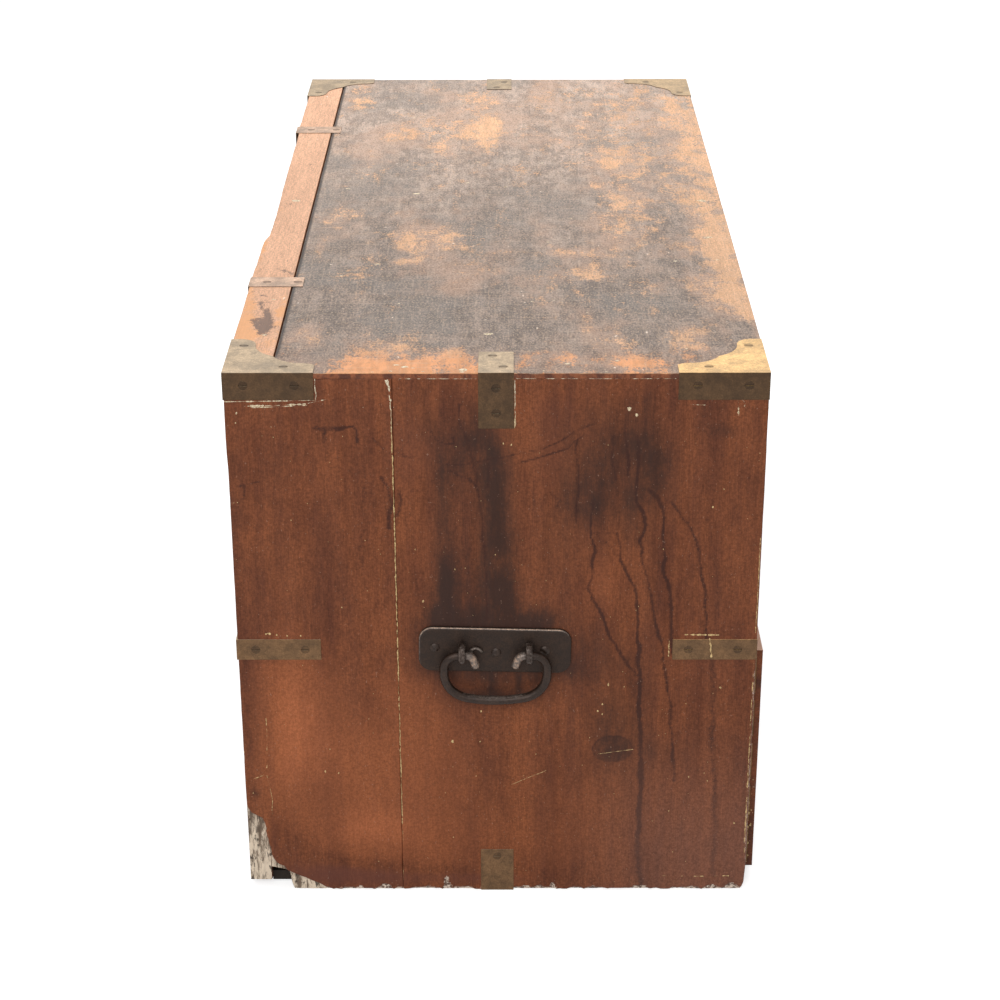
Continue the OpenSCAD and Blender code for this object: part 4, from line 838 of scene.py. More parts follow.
def top_wood(settings):
    """Top: a charred coating with ragged bare patches, cross-hatched scratches and pale nicks"""
    f = Finish("Top wood")
    bare = f.field("bare")
    cloud = f.noise(13, 6, (0.6, 1, 1), rough=0.7)
    ragged = f.noise(60, 7, (0.8, 1, 1), rough=0.8)
    dots = f.noise(520, 3, (0.6, 1, 1), rough=0.7)
    scratch_x = f.noise(330, 3, (0.07, 1, 1), rough=0.6, warp=0.2)
    scratch_y = f.noise(330, 3, (1, 0.06, 1), (3, 1, 0), rough=0.6, warp=0.2)
    hatch = f.plus(f.ramp(scratch_x, 0.54, 0.7), f.ramp(scratch_y, 0.53, 0.68))
    light, dark = f.shade(settings.coat, 1.25), f.shade(settings.coat, 0.78)
    coat, height, speck = wood_base(f, light, dark, "x", 4.0, 0.9)
    light, dark = f.shade(settings.bare, 1.12), f.shade(settings.bare, 0.78)
    pale = wood_base(f, light, dark, "x", 7.0, 0.7)[0]
    far = f.axes()[0]
    # Coating made lighter towards the far end: painted light, as from a lamp behind the chest
    coat = f.varied(coat, far, -0.42, 0.45, 0.8, 1.45)
    mottle = f.noise(75, 6, (0.45, 1, 1), (8, 1, 4), 0.75)
    coat = f.varied(coat, mottle, 0.4, 0.6, 0.72, 1.3)
    near = f.roughened(bare, cloud, 4.5)
    coat = f.over(coat, COAT_BROWN, near, -0.15, 0.7, 0.62)
    coat = f.mix(f.ramp(f.noise(9, 5, rough=0.65), 0.47, 0.6, 0.0, 0.6), coat, COAT_GREY)
    coat = f.over(coat, COAT_PALE_DOT, dots, 0.53, 0.62, 0.55)
    coat = f.over(coat, COAT_DARK_DOT, dots, 0.46, 0.37, 0.6)
    patch = f.noise(34, 5, (0.45, 1, 1), (1, 6, 2), 0.6)
    bare = f.roughened(bare, patch, 2.4)
    edge = f.plus(f.roughened(bare, ragged, 4.6), f.plus(f.centred(dots, 1.8), f.times(hatch, 0.2)))
    colour = f.mix(f.ramp(edge, 0.36, 1.12, 0.0, 0.94), coat, pale)
    glow = f.times(f.ramp(far, -0.42, -0.475), f.ramp(edge, 0.2, 0.8, 0.1, 0.85))
    colour = f.mix(glow, colour, f.varied(NEAR_GLOW, mottle, 0.4, 0.6, 0.75, 1.05))
    # Whole top made lighter towards the far end: painted light
    colour = f.varied(colour, far, -0.35, 0.42, 1.0, 1.25)
    colour = f.mix(f.times(hatch, 0.2), colour, SCRATCH)
    nick = f.ramp(f.noise(150, 2, (0.7, 1, 1), (5, 5, 5)), 0.74, 0.77)
    colour = f.mix(f.times(nick, 0.8), colour, NICK)
    colour = f.mix(f.ramp(f.field("grime"), 0.2, 0.9, 0.0, 0.92), colour, JOINT_GRIME)
    colour = side_wood(f, colour, settings, speck)
    rough = f.ramp(ragged, 0.3, 0.7, 0.42, 0.62)
    height = f.less(f.plus(height, f.times(ragged, 0.8)), f.times(hatch, 0.8))
    return f.finish(colour, rough, height, 0.0007, 0.4, specular=0.26)


def side_wood(f, colour, settings, speck):
    """Puts varnished wood on the upright sides of a top board, with its arris worn pale in places"""
    side = f.mix(f.ramp(f.noise(110, 5, (0.06, 1, 1), rough=0.65), 0.4, 0.6), settings.deep, settings.warm)
    side = f.varied(side, speck, 0.3, 0.7, 0.7, 1.2)
    up = upright(f)
    colour = f.mix(up, colour, side)
    arris = f.times(f.times(up, f.less(1.0, up)), 4.0)
    chip = f.ramp(f.noise(110, 5, rough=0.75), 0.46, 0.6, 0.1, 0.75)
    return f.mix(f.times(arris, chip), colour, ARRIS)


def strip_wood(settings):
    """Rear strip of the top: cleaner pinkish wood with dark stains"""
    f = Finish("Strip wood")
    light, dark = f.shade(settings.strip, 1.08), f.shade(settings.strip, 0.76)
    colour, height, speck = wood_base(f, light, dark, "x", 2.0, 0.7)
    far = f.axes()[0]
    # Strip made lighter towards the far end: painted light
    colour = f.varied(colour, far, -0.1, 0.5, 1.0, 1.15)
    warm = f.roughened(f.field("bare"), f.noise(45, 7, rough=0.8), 4.0)
    colour = f.over(colour, STRIP_WARM, warm, 0.3, 1.1, 0.75)
    stain = f.roughened(f.field("grime"), f.noise(75, 7, (0.6, 1, 1), rough=0.8), 5.5)
    colour = f.over(colour, STRIP_STAIN, stain, 0.65, 1.1, 0.8)
    nick = f.ramp(f.noise(120, 2, (0.5, 1, 1), (2, 5, 5)), 0.75, 0.78)
    colour = f.mix(f.times(nick, 0.7), colour, STRIP_NICK)
    colour = side_wood(f, colour, settings, speck)
    return f.finish(colour, f.ramp(speck, 0.3, 0.7, 0.45, 0.65), height, 0.0005, 0.35, specular=0.24)


def plain_wood(name, warm, deep, grain, seed, wear=0.0, rough=0.6, dusty=0.0):
    """Plain board: bands, pores and speckle, with rubbed places where wear is above nothing and dusty
    level faces"""
    f = Finish(name)
    colour, height, speck = wood_base(f, warm, deep, grain, seed)
    dirt = f.noise(14, 5, rough=0.65)
    colour = f.varied(colour, dirt, 0.35, 0.65, 0.72, 1.08)
    if wear > 0:
        chips = f.noise(150, 6, shift=(seed, 1, 2), rough=0.75)
        colour = f.mix(f.ramp(chips, 0.63, 0.68, 0.0, wear), colour, BOARD_CHIP)
    if dusty > 0:
        level = f.less(1.0, upright(f))
        colour = f.mix(f.times(level, dusty), colour, LEVEL_DUST)
    rough = f.ramp(speck, 0.3, 0.7, rough - 0.08, rough + 0.12)
    return f.finish(colour, rough, height, 0.0005, 0.4, specular=0.16)


def rotten_wood(settings):
    """Broken, worm-eaten wood: pale fibres with dark holes, cracks and galleries"""
    f = Finish("Rotten wood")
    at = f.add("ShaderNodeMapping", {"Vector": f.place, "Scale": (1, 1, 0.55)})
    cell = f.add("ShaderNodeTexVoronoi", {"Vector": at, "Scale": 75.0}, out="Distance",
                 feature="DISTANCE_TO_EDGE")
    fibre = f.noise(150, 7, (1, 1, 0.2), rough=0.75, warp=0.4)
    dirt = f.noise(45, 6, (1, 1, 0.45), (1, 2, 3), 0.7)
    colour = f.mix(f.ramp(fibre, 0.42, 0.57), ROT_FIBRE, f.shade(settings.rotten, 1.2))
    crack = f.roughened(cell, f.noise(170, 5, (1, 1, 0.5), rough=0.7), 0.6)
    colour = f.mix(f.ramp(crack, -0.05, 0.02, 0.85, 0.0), colour, ROT_CRACK)
    colour = f.over(colour, ROT_DIRT, dirt, 0.52, 0.6, 0.7)
    return f.finish(colour, 0.85, fibre, 0.0015, 0.9, specular=0.12)


def filler_paste(settings):
    """Pale yellow filler with grubby spots, whiter near the top"""
    f = Finish("Filler")
    spot = f.noise(700, 3)
    clean = f.mix(f.ramp(f.axes()[2], 0.44, 0.5), settings.filler, FILLER_CLEAN)
    colour = f.mix(f.ramp(spot, 0.42, 0.62, 0.0, 0.7), clean, FILLER_GRUBBY)
    return f.finish(colour, 0.8, spot, 0.0003, 0.5, specular=0.2)


def brass(metal, name="Old brass", darker=1.0):
    """Old brass: tarnished brown on upright faces, rubbed pale on level ones and partly a painted reflection
    there, with blotches and fine scratches"""
    f = Finish(name)
    up = upright(f)
    x, y, z = f.axes()
    blotch = f.noise(60, 6, rough=0.75)
    fine = f.noise(600, 3, (1, 0.3, 0.3), rough=0.6)
    speck = f.noise(700, 4, rough=0.8)
    dull = f.mix(f.ramp(blotch, 0.38, 0.62), f.shade(metal.brass_dull, 0.8), f.shade(metal.brass_dull, 1.2))
    dull = f.varied(dull, z, 0.3, 0.48, 1.08, 0.58)
    pale = f.mix(f.ramp(blotch, 0.42, 0.6), f.shade(metal.brass_flat, 0.78), f.shade(metal.brass_flat, 1.12))
    golden = f.times(f.ramp(y, -0.05, -0.16), f.ramp(x, 0.1, -0.4, 0.25, 1.0))
    pale = f.mix(f.times(golden, 0.85), pale, f.varied(BRASS_GOLDEN, blotch, 0.36, 0.64, 0.75, 1.12))
    pinkish = f.times(f.ramp(y, 0.1, 0.14), f.times(f.ramp(x, -0.38, -0.3), f.ramp(x, 0.42, 0.3)))
    pale = f.mix(f.times(pinkish, 0.8), pale, f.varied(BRASS_PINK, blotch, 0.4, 0.6, 0.7, 1.15))
    # Pale on level faces, tarnished on upright ones: partly rubbed wear and tarnish, partly a painted
    # reflection on the level faces
    colour = f.mix(up, pale, dull)
    scuff = f.ramp(f.noise(210, 6, rough=0.8), 0.56, 0.7, 0.0, 0.5)
    colour = f.mix(scuff, colour, f.mix(up, f.shade(pale, 0.55), f.shade(dull, 1.7)))
    colour = f.varied(colour, fine, 0.3, 0.7, 0.86, 1.12)
    colour = f.varied(colour, speck, 0.3, 0.7, 0.78 * darker, 1.22 * darker)
    rough = f.ramp(blotch, 0.3, 0.7, 0.42, 0.6)
    height = f.plus(f.times(blotch, 1.5), f.times(fine, 0.3))
    return f.finish(colour, rough, height, 0.0006, 0.35, metallic=0.5, specular=0.35)


def iron(metal):
    """Blackened forged iron with hammer marks, greyer where its field is half up and rubbed pale where it
    is full; the field also paints a highlight on the grip and light on the plate's upper rim"""
    f = Finish("Black iron")
    blotch = f.noise(120, 5, rough=0.65)
    speck = f.noise(700, 4, rough=0.8)
    colour = f.mix(f.ramp(blotch, 0.4, 0.66), metal.iron, f.shade(metal.iron, 1.7))
    colour = f.varied(colour, speck, 0.3, 0.7, 0.68, 1.35)
    rub = f.roughened(f.field("rub"), f.noise(330, 5, rough=0.75), 0.8)
    # Grey where the field is half up: worn iron, and the painted highlight on the handle's grip
    grey = f.varied(IRON_GREY, speck, 0.3, 0.7, 0.6, 1.4)
    colour = f.over(colour, grey, rub, 0.35, 0.6, 0.8)
    colour = f.over(colour, metal.iron_worn, rub, 0.72, 0.95, 0.9)
    handled = f.ramp(f.field("rub"), 0.04, 0.14, 0.0, -0.26)
    rough = f.plus(f.ramp(blotch, 0.3, 0.7, 0.52, 0.68), handled)
    return f.finish(colour, rough, blotch, 0.0012, 0.4, metallic=0.4, specular=0.32)


# Plain woods: lighter and darker colour, grain, seed, wear, roughness, dust on level faces
PLAIN_WOODS = {
    "Back wood": ((0.24, 0.085, 0.042), (0.12, 0.045, 0.027), "x", 5.0, 0.3, 0.6, 0.0),
    "Front wood": ((0.25, 0.078, 0.034), (0.11, 0.038, 0.022), "x", 9.0, 0.6, 0.45, 0.8),
    "Rail wood": ((0.2, 0.07, 0.035), (0.09, 0.033, 0.02), "x", 3.0, 0.5, 0.6, 0.0),
    # Near-black wood of the bottom board: painted shade for the hollow under the broken foot
    "Grimy wood": ((0.05, 0.034, 0.025), (0.022, 0.016, 0.012), "x", 8.0, 0.0, 0.6, 0.0),
}


def finishes():
    """All materials by name, made once"""
    wood, metal = bpy.context.scene.chest_wood, bpy.context.scene.chest_metal
    darker = [0.6 * c for c in wood.inner]
    makers = {
        "End wood": lambda: end_wood(wood),
        "Top wood": lambda: top_wood(wood),
        "Strip wood": lambda: strip_wood(wood),
        "Inner wood along X": lambda: plain_wood("Inner wood along X", wood.inner, darker, "x", 1.0),
        "Inner wood along Y": lambda: plain_wood("Inner wood along Y", wood.inner, darker, "y", 6.0),
        "Rotten wood": lambda: rotten_wood(wood),
        "Filler": lambda: filler_paste(wood),
        "Old brass": lambda: brass(metal),
        "Screw brass": lambda: brass(metal, "Screw brass", 0.62),
        "Black iron": lambda: iron(metal),
    }
    for name, values in PLAIN_WOODS.items():
        makers[name] = lambda row=(name, *values): plain_wood(*row)
    return lambda name: bpy.data.materials.get(name) or makers[name]()


def dress(material, *names):
    """Gives model nodes that stay as they are their finish"""
    for name in names:
        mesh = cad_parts[name].data
        mesh.materials.clear()
        mesh.materials.append(material)


def end_fields(y, z):
    """Tone, soot and painted shade, runs and rubbed places of the near end as sums of blots and bands round its
    lines, over (y, z)."""
    shape = y.shape
    y, z = y.ravel(), z.ravel()
    p = np.stack([y, z, np.zeros_like(y)], -1)
    wy, wz = y + 1.2 * lumps(p, 14, 5), z + 1.2 * lumps(p, 17, 6)
    run = np.zeros_like(y)
    for width, strength, points in RUNS:
        d = from_line(points, wy + 0.5 * lumps(p, 5, 7), wz)
        thick = width * (1 + 0.4 * lumps(p, 12, 8))
        part = strength * (0.88 + 0.25 * lumps(p, 16, len(points) + 9))
        run = np.maximum(run, part * (1 - smooth(0.1 * thick, 1.9 * thick, d)))
    speckle = np.clip(fractal(p, 5, 2, 31) - 0.35, 0, 1) * blots(SPECKLED, y, z)
    smoke = blots(SOOT_AND_SHADE, wy, wz) * (1 + 0.3 * fractal(p, 30, 3, 9))
    knot = np.hypot((wy - KNOT[0]) / KNOT[2], (wz - KNOT[1]) / KNOT[3])
    smoke = smoke + (1 - smooth(0.9, 1.06, knot)) * (0.34 + 0.2 * fractal(p, 12, 2, 44))
    tone = blots(TONES, wy, wz) + 0.25 * fractal(p, 60, 3, 12)
    rub = 0.8 * (1 - smooth(0.5, 8, z)) + 0.5 * (1 - smooth(0, 3.5, HALF_D - np.abs(y)))
    rub = rub + 0.3 * (1 - smooth(0, 2, LIP_Z - z)) - 0.35 + 0.25 * blots(RUBBED_FOOT, y, z)
    rub = rub + 0.75 * blots(RUBBED_RIM, y, z)
    chip = chipped(p)
    rub = rub + 1.4 * chip * (0.75 + 0.5 * fractal(p, 3, 2, 58))
    fields = {"run": np.maximum(run, 0.9 * speckle), "smoke": smoke, "tone": tone, "rub": rub, "chip": chip}
    return {name: values.reshape(shape) for name, values in fields.items()}


def chipped(p):
    """1 inside the chips of the lower edge: below h (1 - (dy/w)^2) for each, and below a random line,
    both roughened."""
    bump = 0.35 * fractal(p, 4, 3, 57)
    depth = [h * (1 - ((p[:, 0] - y) / w) ** 2 + bump) for y, w, h in CHIPS]
    fine = 5.0 * (fractal(p * [1, 0.2, 0], 9, 3, 59) + 0.22)
    return smooth(-0.5, 0.5, np.maximum(np.max(depth, axis=0), fine) - p[:, 1])


def plain_fields(y, z, seed):
    """Tone, soot and rubbed edges of a board without the near end's marks."""
    p = np.stack([y, z, np.full_like(y, seed * 50.0)], -1)
    run = np.clip(fractal(p * [1, 0.1, 1], 5, 3, seed) - 0.5, 0, 1) * 1.3 * smooth(60, 300, z)
    rub = 0.8 * (1 - smooth(0.5, 7, z)) + 0.5 * (1 - smooth(0, 3.5, HALF_D - np.abs(y))) - 0.35
    return {"run": run, "smoke": np.clip(fractal(p * [1, 0.4, 1], 90, 3, seed + 1), 0, 1) * 0.35,
            "tone": 0.7 * fractal(p * [1, 0.4, 1], 110, 3, seed + 2), "rub": rub, "chip": np.zeros_like(y)}


def sunk(a, b, places, radius):
    """2.5 mm hollows under the screws' heads, so that the wood doesn't show in their slots."""
    near = np.min([np.hypot(a - u, b - v) for u, v in places], axis=0)
    return 2.5 * (near < radius)


def board_height(a, b, thickness, seed, rim=1.2, chips=3.0, size=14.0, wave=0.12):
    """Height of a board's face: flat, with a slight wave, less the rounding and bites of its rim."""
    drop, d = rounded(a, b, np.clip(worn_radius(a, b, rim, chips, size, seed), 0.4, thickness * 0.45))
    p = np.stack([a, b, np.full_like(a, seed * 10.0)], -1)
    return -drop + wave * (fractal(p, 45, 3, seed + 20) - 1) * smooth(0, 4, d)


def end_board(name, y0, edge, y_step, z_step, thickness, seed, far, fields, replaces):
    """Upright board of an end: a grid between its joint at y0 and an outer edge y(z), with its grain
    along Z."""
    width = float(edge(WHOLE_Z)) - y0
    z = spaced(0.0, LIP_Z, z_step, STEP_RIM)
    share = spaced(0.0, 1.0, y_step / abs(width), STEP_RIM / abs(width))
    b, s = np.meshgrid(z, share)
    a = y0 + (edge(b) - y0) * s
    data = fields(a, b)
    high = HALF_L + board_height(a, b, thickness, seed) - sunk(a, b, END_SCREWS, 3.2) - 1.3 * data["chip"]
    verts, faces = slab(a, b, high, flat=HALF_L - thickness)
    if width < 0:
        faces = [f[:, ::-1] for f in faces]
    verts, faces = placed(verts, faces, (1, 2, 0), -1)
    if far:
        verts, faces = mirrored(verts, faces)
    extra = len(verts) - a.size
    layers = {k: np.concatenate([np.ravel(v), np.zeros(extra)]) for k, v in data.items()}
    return piece(name, verts, faces, finishes()("End wood"), "case", replaces, layers)


def ragged(table, seed, height):
    """Outline y(z) through a table's points, with a fine random tooth below a given height."""
    z0, y0 = np.array(table, float).T

    def outline(z):
        z = np.asarray(z, float)
        p = np.stack([z, z * 0, z * 0 + seed], -1)
        tooth = 0.9 * fractal(p, 5, 2, seed) * smooth(height + 8, height - 4, z)
        return np.interp(z, z0, y0) + np.minimum(tooth, 0) + 0.2 * fractal(p, 22, 3, seed + 1) - 0.2

    return outline


class CHEST_OT_end_boards(bpy.types.Operator):
    """Build the boards of both ends, with the near end's runs, soot and broken foot"""

    bl_idname = "chest.end_boards"
    bl_label = "End boards"

    def execute(self, context):
        make = finishes()
        front = ragged([(-1, -HALF_D + 8), (1.2, -HALF_D + 5), (4, -HALF_D + 2.6), (9, -HALF_D + 1.2),
                        (24, -HALF_D + 0.4), (512, -HALF_D + 0.1)], 3, 12)
        whole = ragged([(0, HALF_D - 1), (6, HALF_D), (512, HALF_D)], 8, 5)
        skin = ragged(FOOT_SKIN, 5, 90)
        left, right = JOINT_Y - JOINT_GAP, JOINT_Y + JOINT_GAP
        end_board("near_end_front", left, front, 1.6, 1.6, BOARD_THICK, 1, False, end_fields,
                  ["near_end_front_board"])
        end_board("near_end_rear_skin", right, skin, 1.6, 1.6, SKIN_THICK, 2, False, end_fields,
                  ["near_end_rear_board"])
        end_board("far_end_front", left, front, 3.2, 4, BOARD_THICK, 13, True,
                  lambda y, z: plain_fields(y, z, 3), ["far_end_front_board"])
        end_board("far_end_rear", right, whole, 3.2, 4, BOARD_THICK, 14, True,
                  lambda y, z: plain_fields(y, z, 5), ["far_end_rear_board"])
        self.core(make)
        return {"FINISHED"}

    def core(self, make):
        """Wood behind the broken skin, a second grid up to its own broken outline."""
        edge = ragged(FOOT_CORE, 7, 24)
        z = spaced(0.3, TOP_Z, 4, 1.0)
        share = np.linspace(0, 1, 60) ** 0.6
        b, s = np.meshgrid(z, share)
        a = JOINT_Y + JOINT_GAP + (np.minimum(edge(b), BACK_Y) - JOINT_Y) * s
        p = np.stack([a, b, a * 0], -1)
        bite = smooth(70, 10, b) * smooth(170, 190, a)
        stub = 4.4 * smooth(16, 12, b) * smooth(150, 160, a)
        high = LAP_X - 0.02 - bite * (0.6 + 1.6 * np.clip(fractal(p, 6, 3, 41), -0.2, 1)) + stub
        verts, faces = placed(*slab(a, b, high, flat=INNER_X), (1, 2, 0), -1)
        piece("near_foot_core", verts, faces, make("Rotten wood"), "case", angle=50)


class CHEST_OT_top_boards(bpy.types.Operator):
    """Build the wide board of the top and its rear strip"""

    bl_idname = "chest.top_boards"
    bl_label = "Top boards"

    def execute(self, context):
        make = finishes()
        half = STRIP_GAP / 2
        wide, strip = make("Top wood"), make("Strip wood")
        self.board("top_main", -HALF_D, STRIP_Y - half, wide, "top_wood", "top_main_board", 21)
        self.board("top_strip", STRIP_Y + half, HALF_D, strip, "strip_wood", "top_rear_board", 22)
        return {"FINISHED"}

    def board(self, name, y0, y1, material, slot, node, seed):
        """Full thickness between the ends and a thin lip over them, as a grid of heights above and one
        below."""
        steps = [-INNER_X - 0.2, -INNER_X, INNER_X, INNER_X + 0.2]
        x = np.unique(np.concatenate([spaced(-HALF_L, HALF_L, 3.7, STEP_RIM), steps]))
        y = spaced(y0, y1, 3.4, STEP_RIM)
        a, b = np.meshgrid(x, y, indexing="ij")
        p = np.stack([a, b, a * 0], -1)
        drop, d = rounded(a, b, np.clip(worn_radius(a, b, 1.0, 2.4, 16, seed), 0.4, 2.2))
        high = HEIGHT - drop + 0.25 * (fractal(p, 70, 3, seed + 1) - 0.9) * smooth(0, 5, d)
        high = high - sunk(a, b, TOP_SCREWS, 4.4)
        low = np.where(np.abs(a) > INNER_X + 0.1, LIP_Z, TOP_Z)
        worn_x, worn_in = np.array(STRIP_WEAR, float).T
        worn = np.interp(a + HALF_L, worn_x, worn_in)
        shift = worn + 0.35 * (1 + fractal(p * [1, 0, 0], 30, 3, seed + 2)) - 0.2
        b = b - np.where(y1 >= HALF_D, shift * smooth(HALF_D - 9, HALF_D, b), 0)
        verts, faces = placed(*slab(a, b, high, low), (0, 1, 2), 1)
        far = a.ravel() + HALF_L
        side = b.ravel()
        q = p.reshape(-1, 3)
        wob = 9 * np.stack([lumps(q, 26, 61), lumps(q, 26, 62)], -1)
        bare = 0.95 * blots(BARE, far + 1.6 * wob[:, 0], side + 0.8 * wob[:, 1])
        bare -= 0.8 * blots(COATED, far + wob[:, 0], side + wob[:, 1])
        rim = 0.45 * (1 - smooth(0, 10, HALF_D + side)) + 0.25 * (1 - smooth(0, 12, far))
        bare += rim + 0.3 * fractal(q, 60, 4, 63)
        bare += 0.2 * smooth(20, -200, side) + 0.15 * smooth(450, 900, far) - 0.12
        grime = smooth(4.5, 1.0, y1 - side) * smooth(-HALF_L, -HALF_L + 60, q[:, 0])
        if y1 >= HALF_D:
            bare, grime = blots(STRIP_BARE, far, side), blots(STRIP_STAINS, far, side)
        fields = {k: np.concatenate([v, v]) for k, v in {"bare": bare, "grime": grime}.items()}
        piece(name, verts, faces, material, "case", [node], fields)


class CHEST_OT_back_boards(bpy.types.Operator):
    """Build the two back boards and the worm-eaten end of the lower one"""

    bl_idname = "chest.back_boards"
    bl_label = "Back boards"

    def execute(self, context):
        make = finishes()
        for name, z0, z1, node, seed in (("back_upper", BACK_JOINT_Z + 0.25, TOP_Z, "back_upper_board", 31),
                                         ("back_lower", 0.2, BACK_JOINT_Z - 0.25, "back_lower_board", 32)):
            x = spaced(-LAP_X + 1.6, LAP_X, 6, 1.4)
            z = spaced(z0, z1, 6, 1.4)
            b, a = np.meshgrid(z, x)
            if z0 < 1:
                foot = np.interp(a, [-LAP_X, -482, -475, -466, LAP_X], [8, 4, 6, 0, 0])
                b = foot + b * (1 - foot / z1)
            high = HALF_D + board_height(a, b, BOARD_THICK, seed, 1.0, 2.0, 16, 0.2)
            verts, faces = placed(*slab(a, b, high, flat=BACK_Y), (0, 2, 1), 1)
            piece(name, verts, faces, make("Back wood"), "case", [node])
        z = spaced(7.0, 300.0, 1.4, 1.0)
        y = spaced(BACK_Y + 0.3, HALF_D - 0.4, 1.2, 0.8)
        a, b = np.meshgrid(y, z, indexing="ij")
        p = np.stack([a, b, a * 0], -1)
        bite = smooth(100, 80, b)
        holes = np.clip(lumps(p, (3.2, 6.0, 3.0), 51) - 0.25, 0, 1)
        high = LAP_X - 0.15 - bite * (0.15 + 1.1 * holes + 0.3 * np.clip(fractal(p, 5, 2, 52), 0, 1))
        verts, faces = placed(*slab(a, b, np.maximum(high, LAP_X - 1.5), flat=LAP_X - 1.8), (1, 2, 0), -1)
        piece("near_back_end_grain", verts, faces, make("Rotten wood"), "case", angle=60)
        return {"FINISHED"}


class CHEST_OT_filler(bpy.types.Operator):
    """Lay the old filler in the near end's joints and the specks of it on the boards"""

    bl_idname = "chest.filler"
    bl_label = "Old filler"

    def execute(self, context):
        make = finishes()
        parts = []
        for n, (width, share, proud, points) in enumerate(PUTTY):
            p = np.array(points, float)
            at = np.concatenate([[0], np.cumsum(np.linalg.norm(np.diff(p, axis=0), axis=1))])
            s = np.arange(0, at[-1], 0.8)
            y, z = np.interp(s, at, p[:, 0]), np.interp(s, at, p[:, 1])
            q = np.stack([s, s * 0, s * 0 + n], -1)
            left = 0.5 + 0.5 * fractal(q, 4.5, 3, 70 + n)
            lumpy = np.clip(0.8 + 0.85 * lumps(q, 1.9, 80), 0.1, 2)
            r = width * smooth(0, 0.14, left - (0.72 - 0.7 * share)) * lumpy
            y = y + 0.55 * fractal(q, 4, 3, 90 + n)
            path = np.stack([np.full_like(y, -HALF_L + 0.12 - proud), y, z], -1)
            v, f = tube(path, (1, 0, 0), np.maximum(r, 0.02), 6, 0.32 / max(width, 0.3))
            parts.append((v, outward(v, f)))
        verts, faces = joined(parts)
        piece("near_end_filler", verts, faces, make("Filler"), "case")
        self.specks(make)
        return {"FINISHED"}

    def specks(self, make):
        """Specks on the near end, those of the table and many small ones, and the spots of paint on the
        top."""
        c = np.arange(120.0)[:, None] * [1, 0, 0]
        small = np.stack([-225 + 450 * hashed(c, 1), 505 * hashed(c, 2), 0.35 + 0.4 * hashed(c, 3)], -1)
        verts, faces = placed(*domes(np.concatenate([FLECKS, small]), HALF_L - 0.14, 0.75), (1, 2, 0), -1)
        piece("near_end_specks", verts, faces, make("Filler"), "case")
        spots = np.array(TOP_SPOTS, float) - [HALF_L, 0, 0]
        verts, faces = placed(*domes(spots, HEIGHT - 0.16, 0.6), (0, 1, 2), 1)
        piece("top_specks", verts, faces, make("Filler"), "case")


class CHEST_OT_carcass(bpy.types.Operator):
    """Finish the rails, and the boards and runners inside the case"""

    bl_idname = "chest.carcass"
    bl_label = "Rails and inside"

    def execute(self, context):
        make = finishes()
        for node in ("divider_rail", "bottom_rail"):
            worn_copy(f"worn_{node}", node, RAIL_EDGE, make("Rail wood"), "case")
        # The bottom board is painted near-black: painted shade in the hollow under the broken foot
        dress(make("Grimy wood"), "bottom_board")
        dress(make("Inner wood along X"), "dust_board", "drawer_stops")
        dress(make("Inner wood along Y"), "drawer_runners")
        return {"FINISHED"}


PLATES = {
    "corner_bracket": ["near_front", "near_back", "far_front", "far_back"],
    "corner_strap": ["near_front", "near_back", "far_front", "far_back"],
    "top_edge_strap": ["near", "far"],
    "bottom_edge_strap": ["near", "far"],
    "rear_top_strap": ["near", "far"],
}


class CHEST_OT_brass(bpy.types.Operator):
    """Build the let-in brass brackets and straps with worn edges, and finish their screws"""

    bl_idname = "chest.brass"
    bl_label = "Brass"

    def execute(self, context):
        make = finishes()
        width = context.scene.chest_metal.edge
        for kind, ends in PLATES.items():
            for end in ends:
                worn_copy(f"worn_{end}_{kind}", f"{end}_{kind}", width, make("Old brass"), "case")
        worn_copy("worn_screws", "brass_screws", SCREW_EDGE, make("Screw brass"), "case")
        return {"FINISHED"}


def plate(outline_w, outline_h, corner, thickness, tilt, centre, wave, seed):
    """Iron plate: rings that run round a rounded rectangle, drawn in over its edge, then shrunk to the
    middle."""
    count = 96
    turn = np.radians(np.linspace(0, 360, count + 1)[:-1])
    way = np.stack([np.cos(turn), np.sin(turn)], -1)
    square = np.sign(way) * [outline_w / 2 - corner, outline_h / 2 - corner]
    insets = np.array([0.0, 0.0, 0.25, 0.8, 1.6, 3.0, 5.0])
    levels = thickness - np.array([thickness, 1.2, 0.45, 0.12, 0, 0, 0])
    rim = square[None] + (corner - insets)[:, None, None] * way[None]
    shares = np.array([0.82, 0.62, 0.42, 0.22, 0.06])
    inner = rim[-1][None] * shares[:, None, None]
    flat = np.concatenate([rim, inner])
    height = np.concatenate([np.repeat(levels[:, None], count, 1), np.full((len(shares), count), thickness)])
    p = np.stack([flat[..., 0], flat[..., 1], flat[..., 0] * 0], -1)
    height = height + wave * fractal(p, 16, 3, seed) * smooth(0, 1, height / thickness - 0.4)
    edge = np.zeros(height.shape)
    edge[1:5] = np.array([0.5, 0.9, 0.75, 0.2])[:, None]
    # Rim paler on its upper and +Y edges, which face the lamps: partly wear, partly painted light
    edge *= np.clip(0.25 + 0.9 * way[None, :, 1] + 0.35 * way[None, :, 0], 0.0, 1)
    c, s = math.cos(math.radians(tilt)), math.sin(math.radians(tilt))
    y = centre[0] + flat[..., 0] * c - flat[..., 1] * s
    z = centre[1] + flat[..., 0] * s + flat[..., 1] * c
    verts = np.stack([-HALF_L - height, y, z], -1).reshape(-1, 3)
    return verts, outward(verts, capped(len(height), count)), edge.ravel()


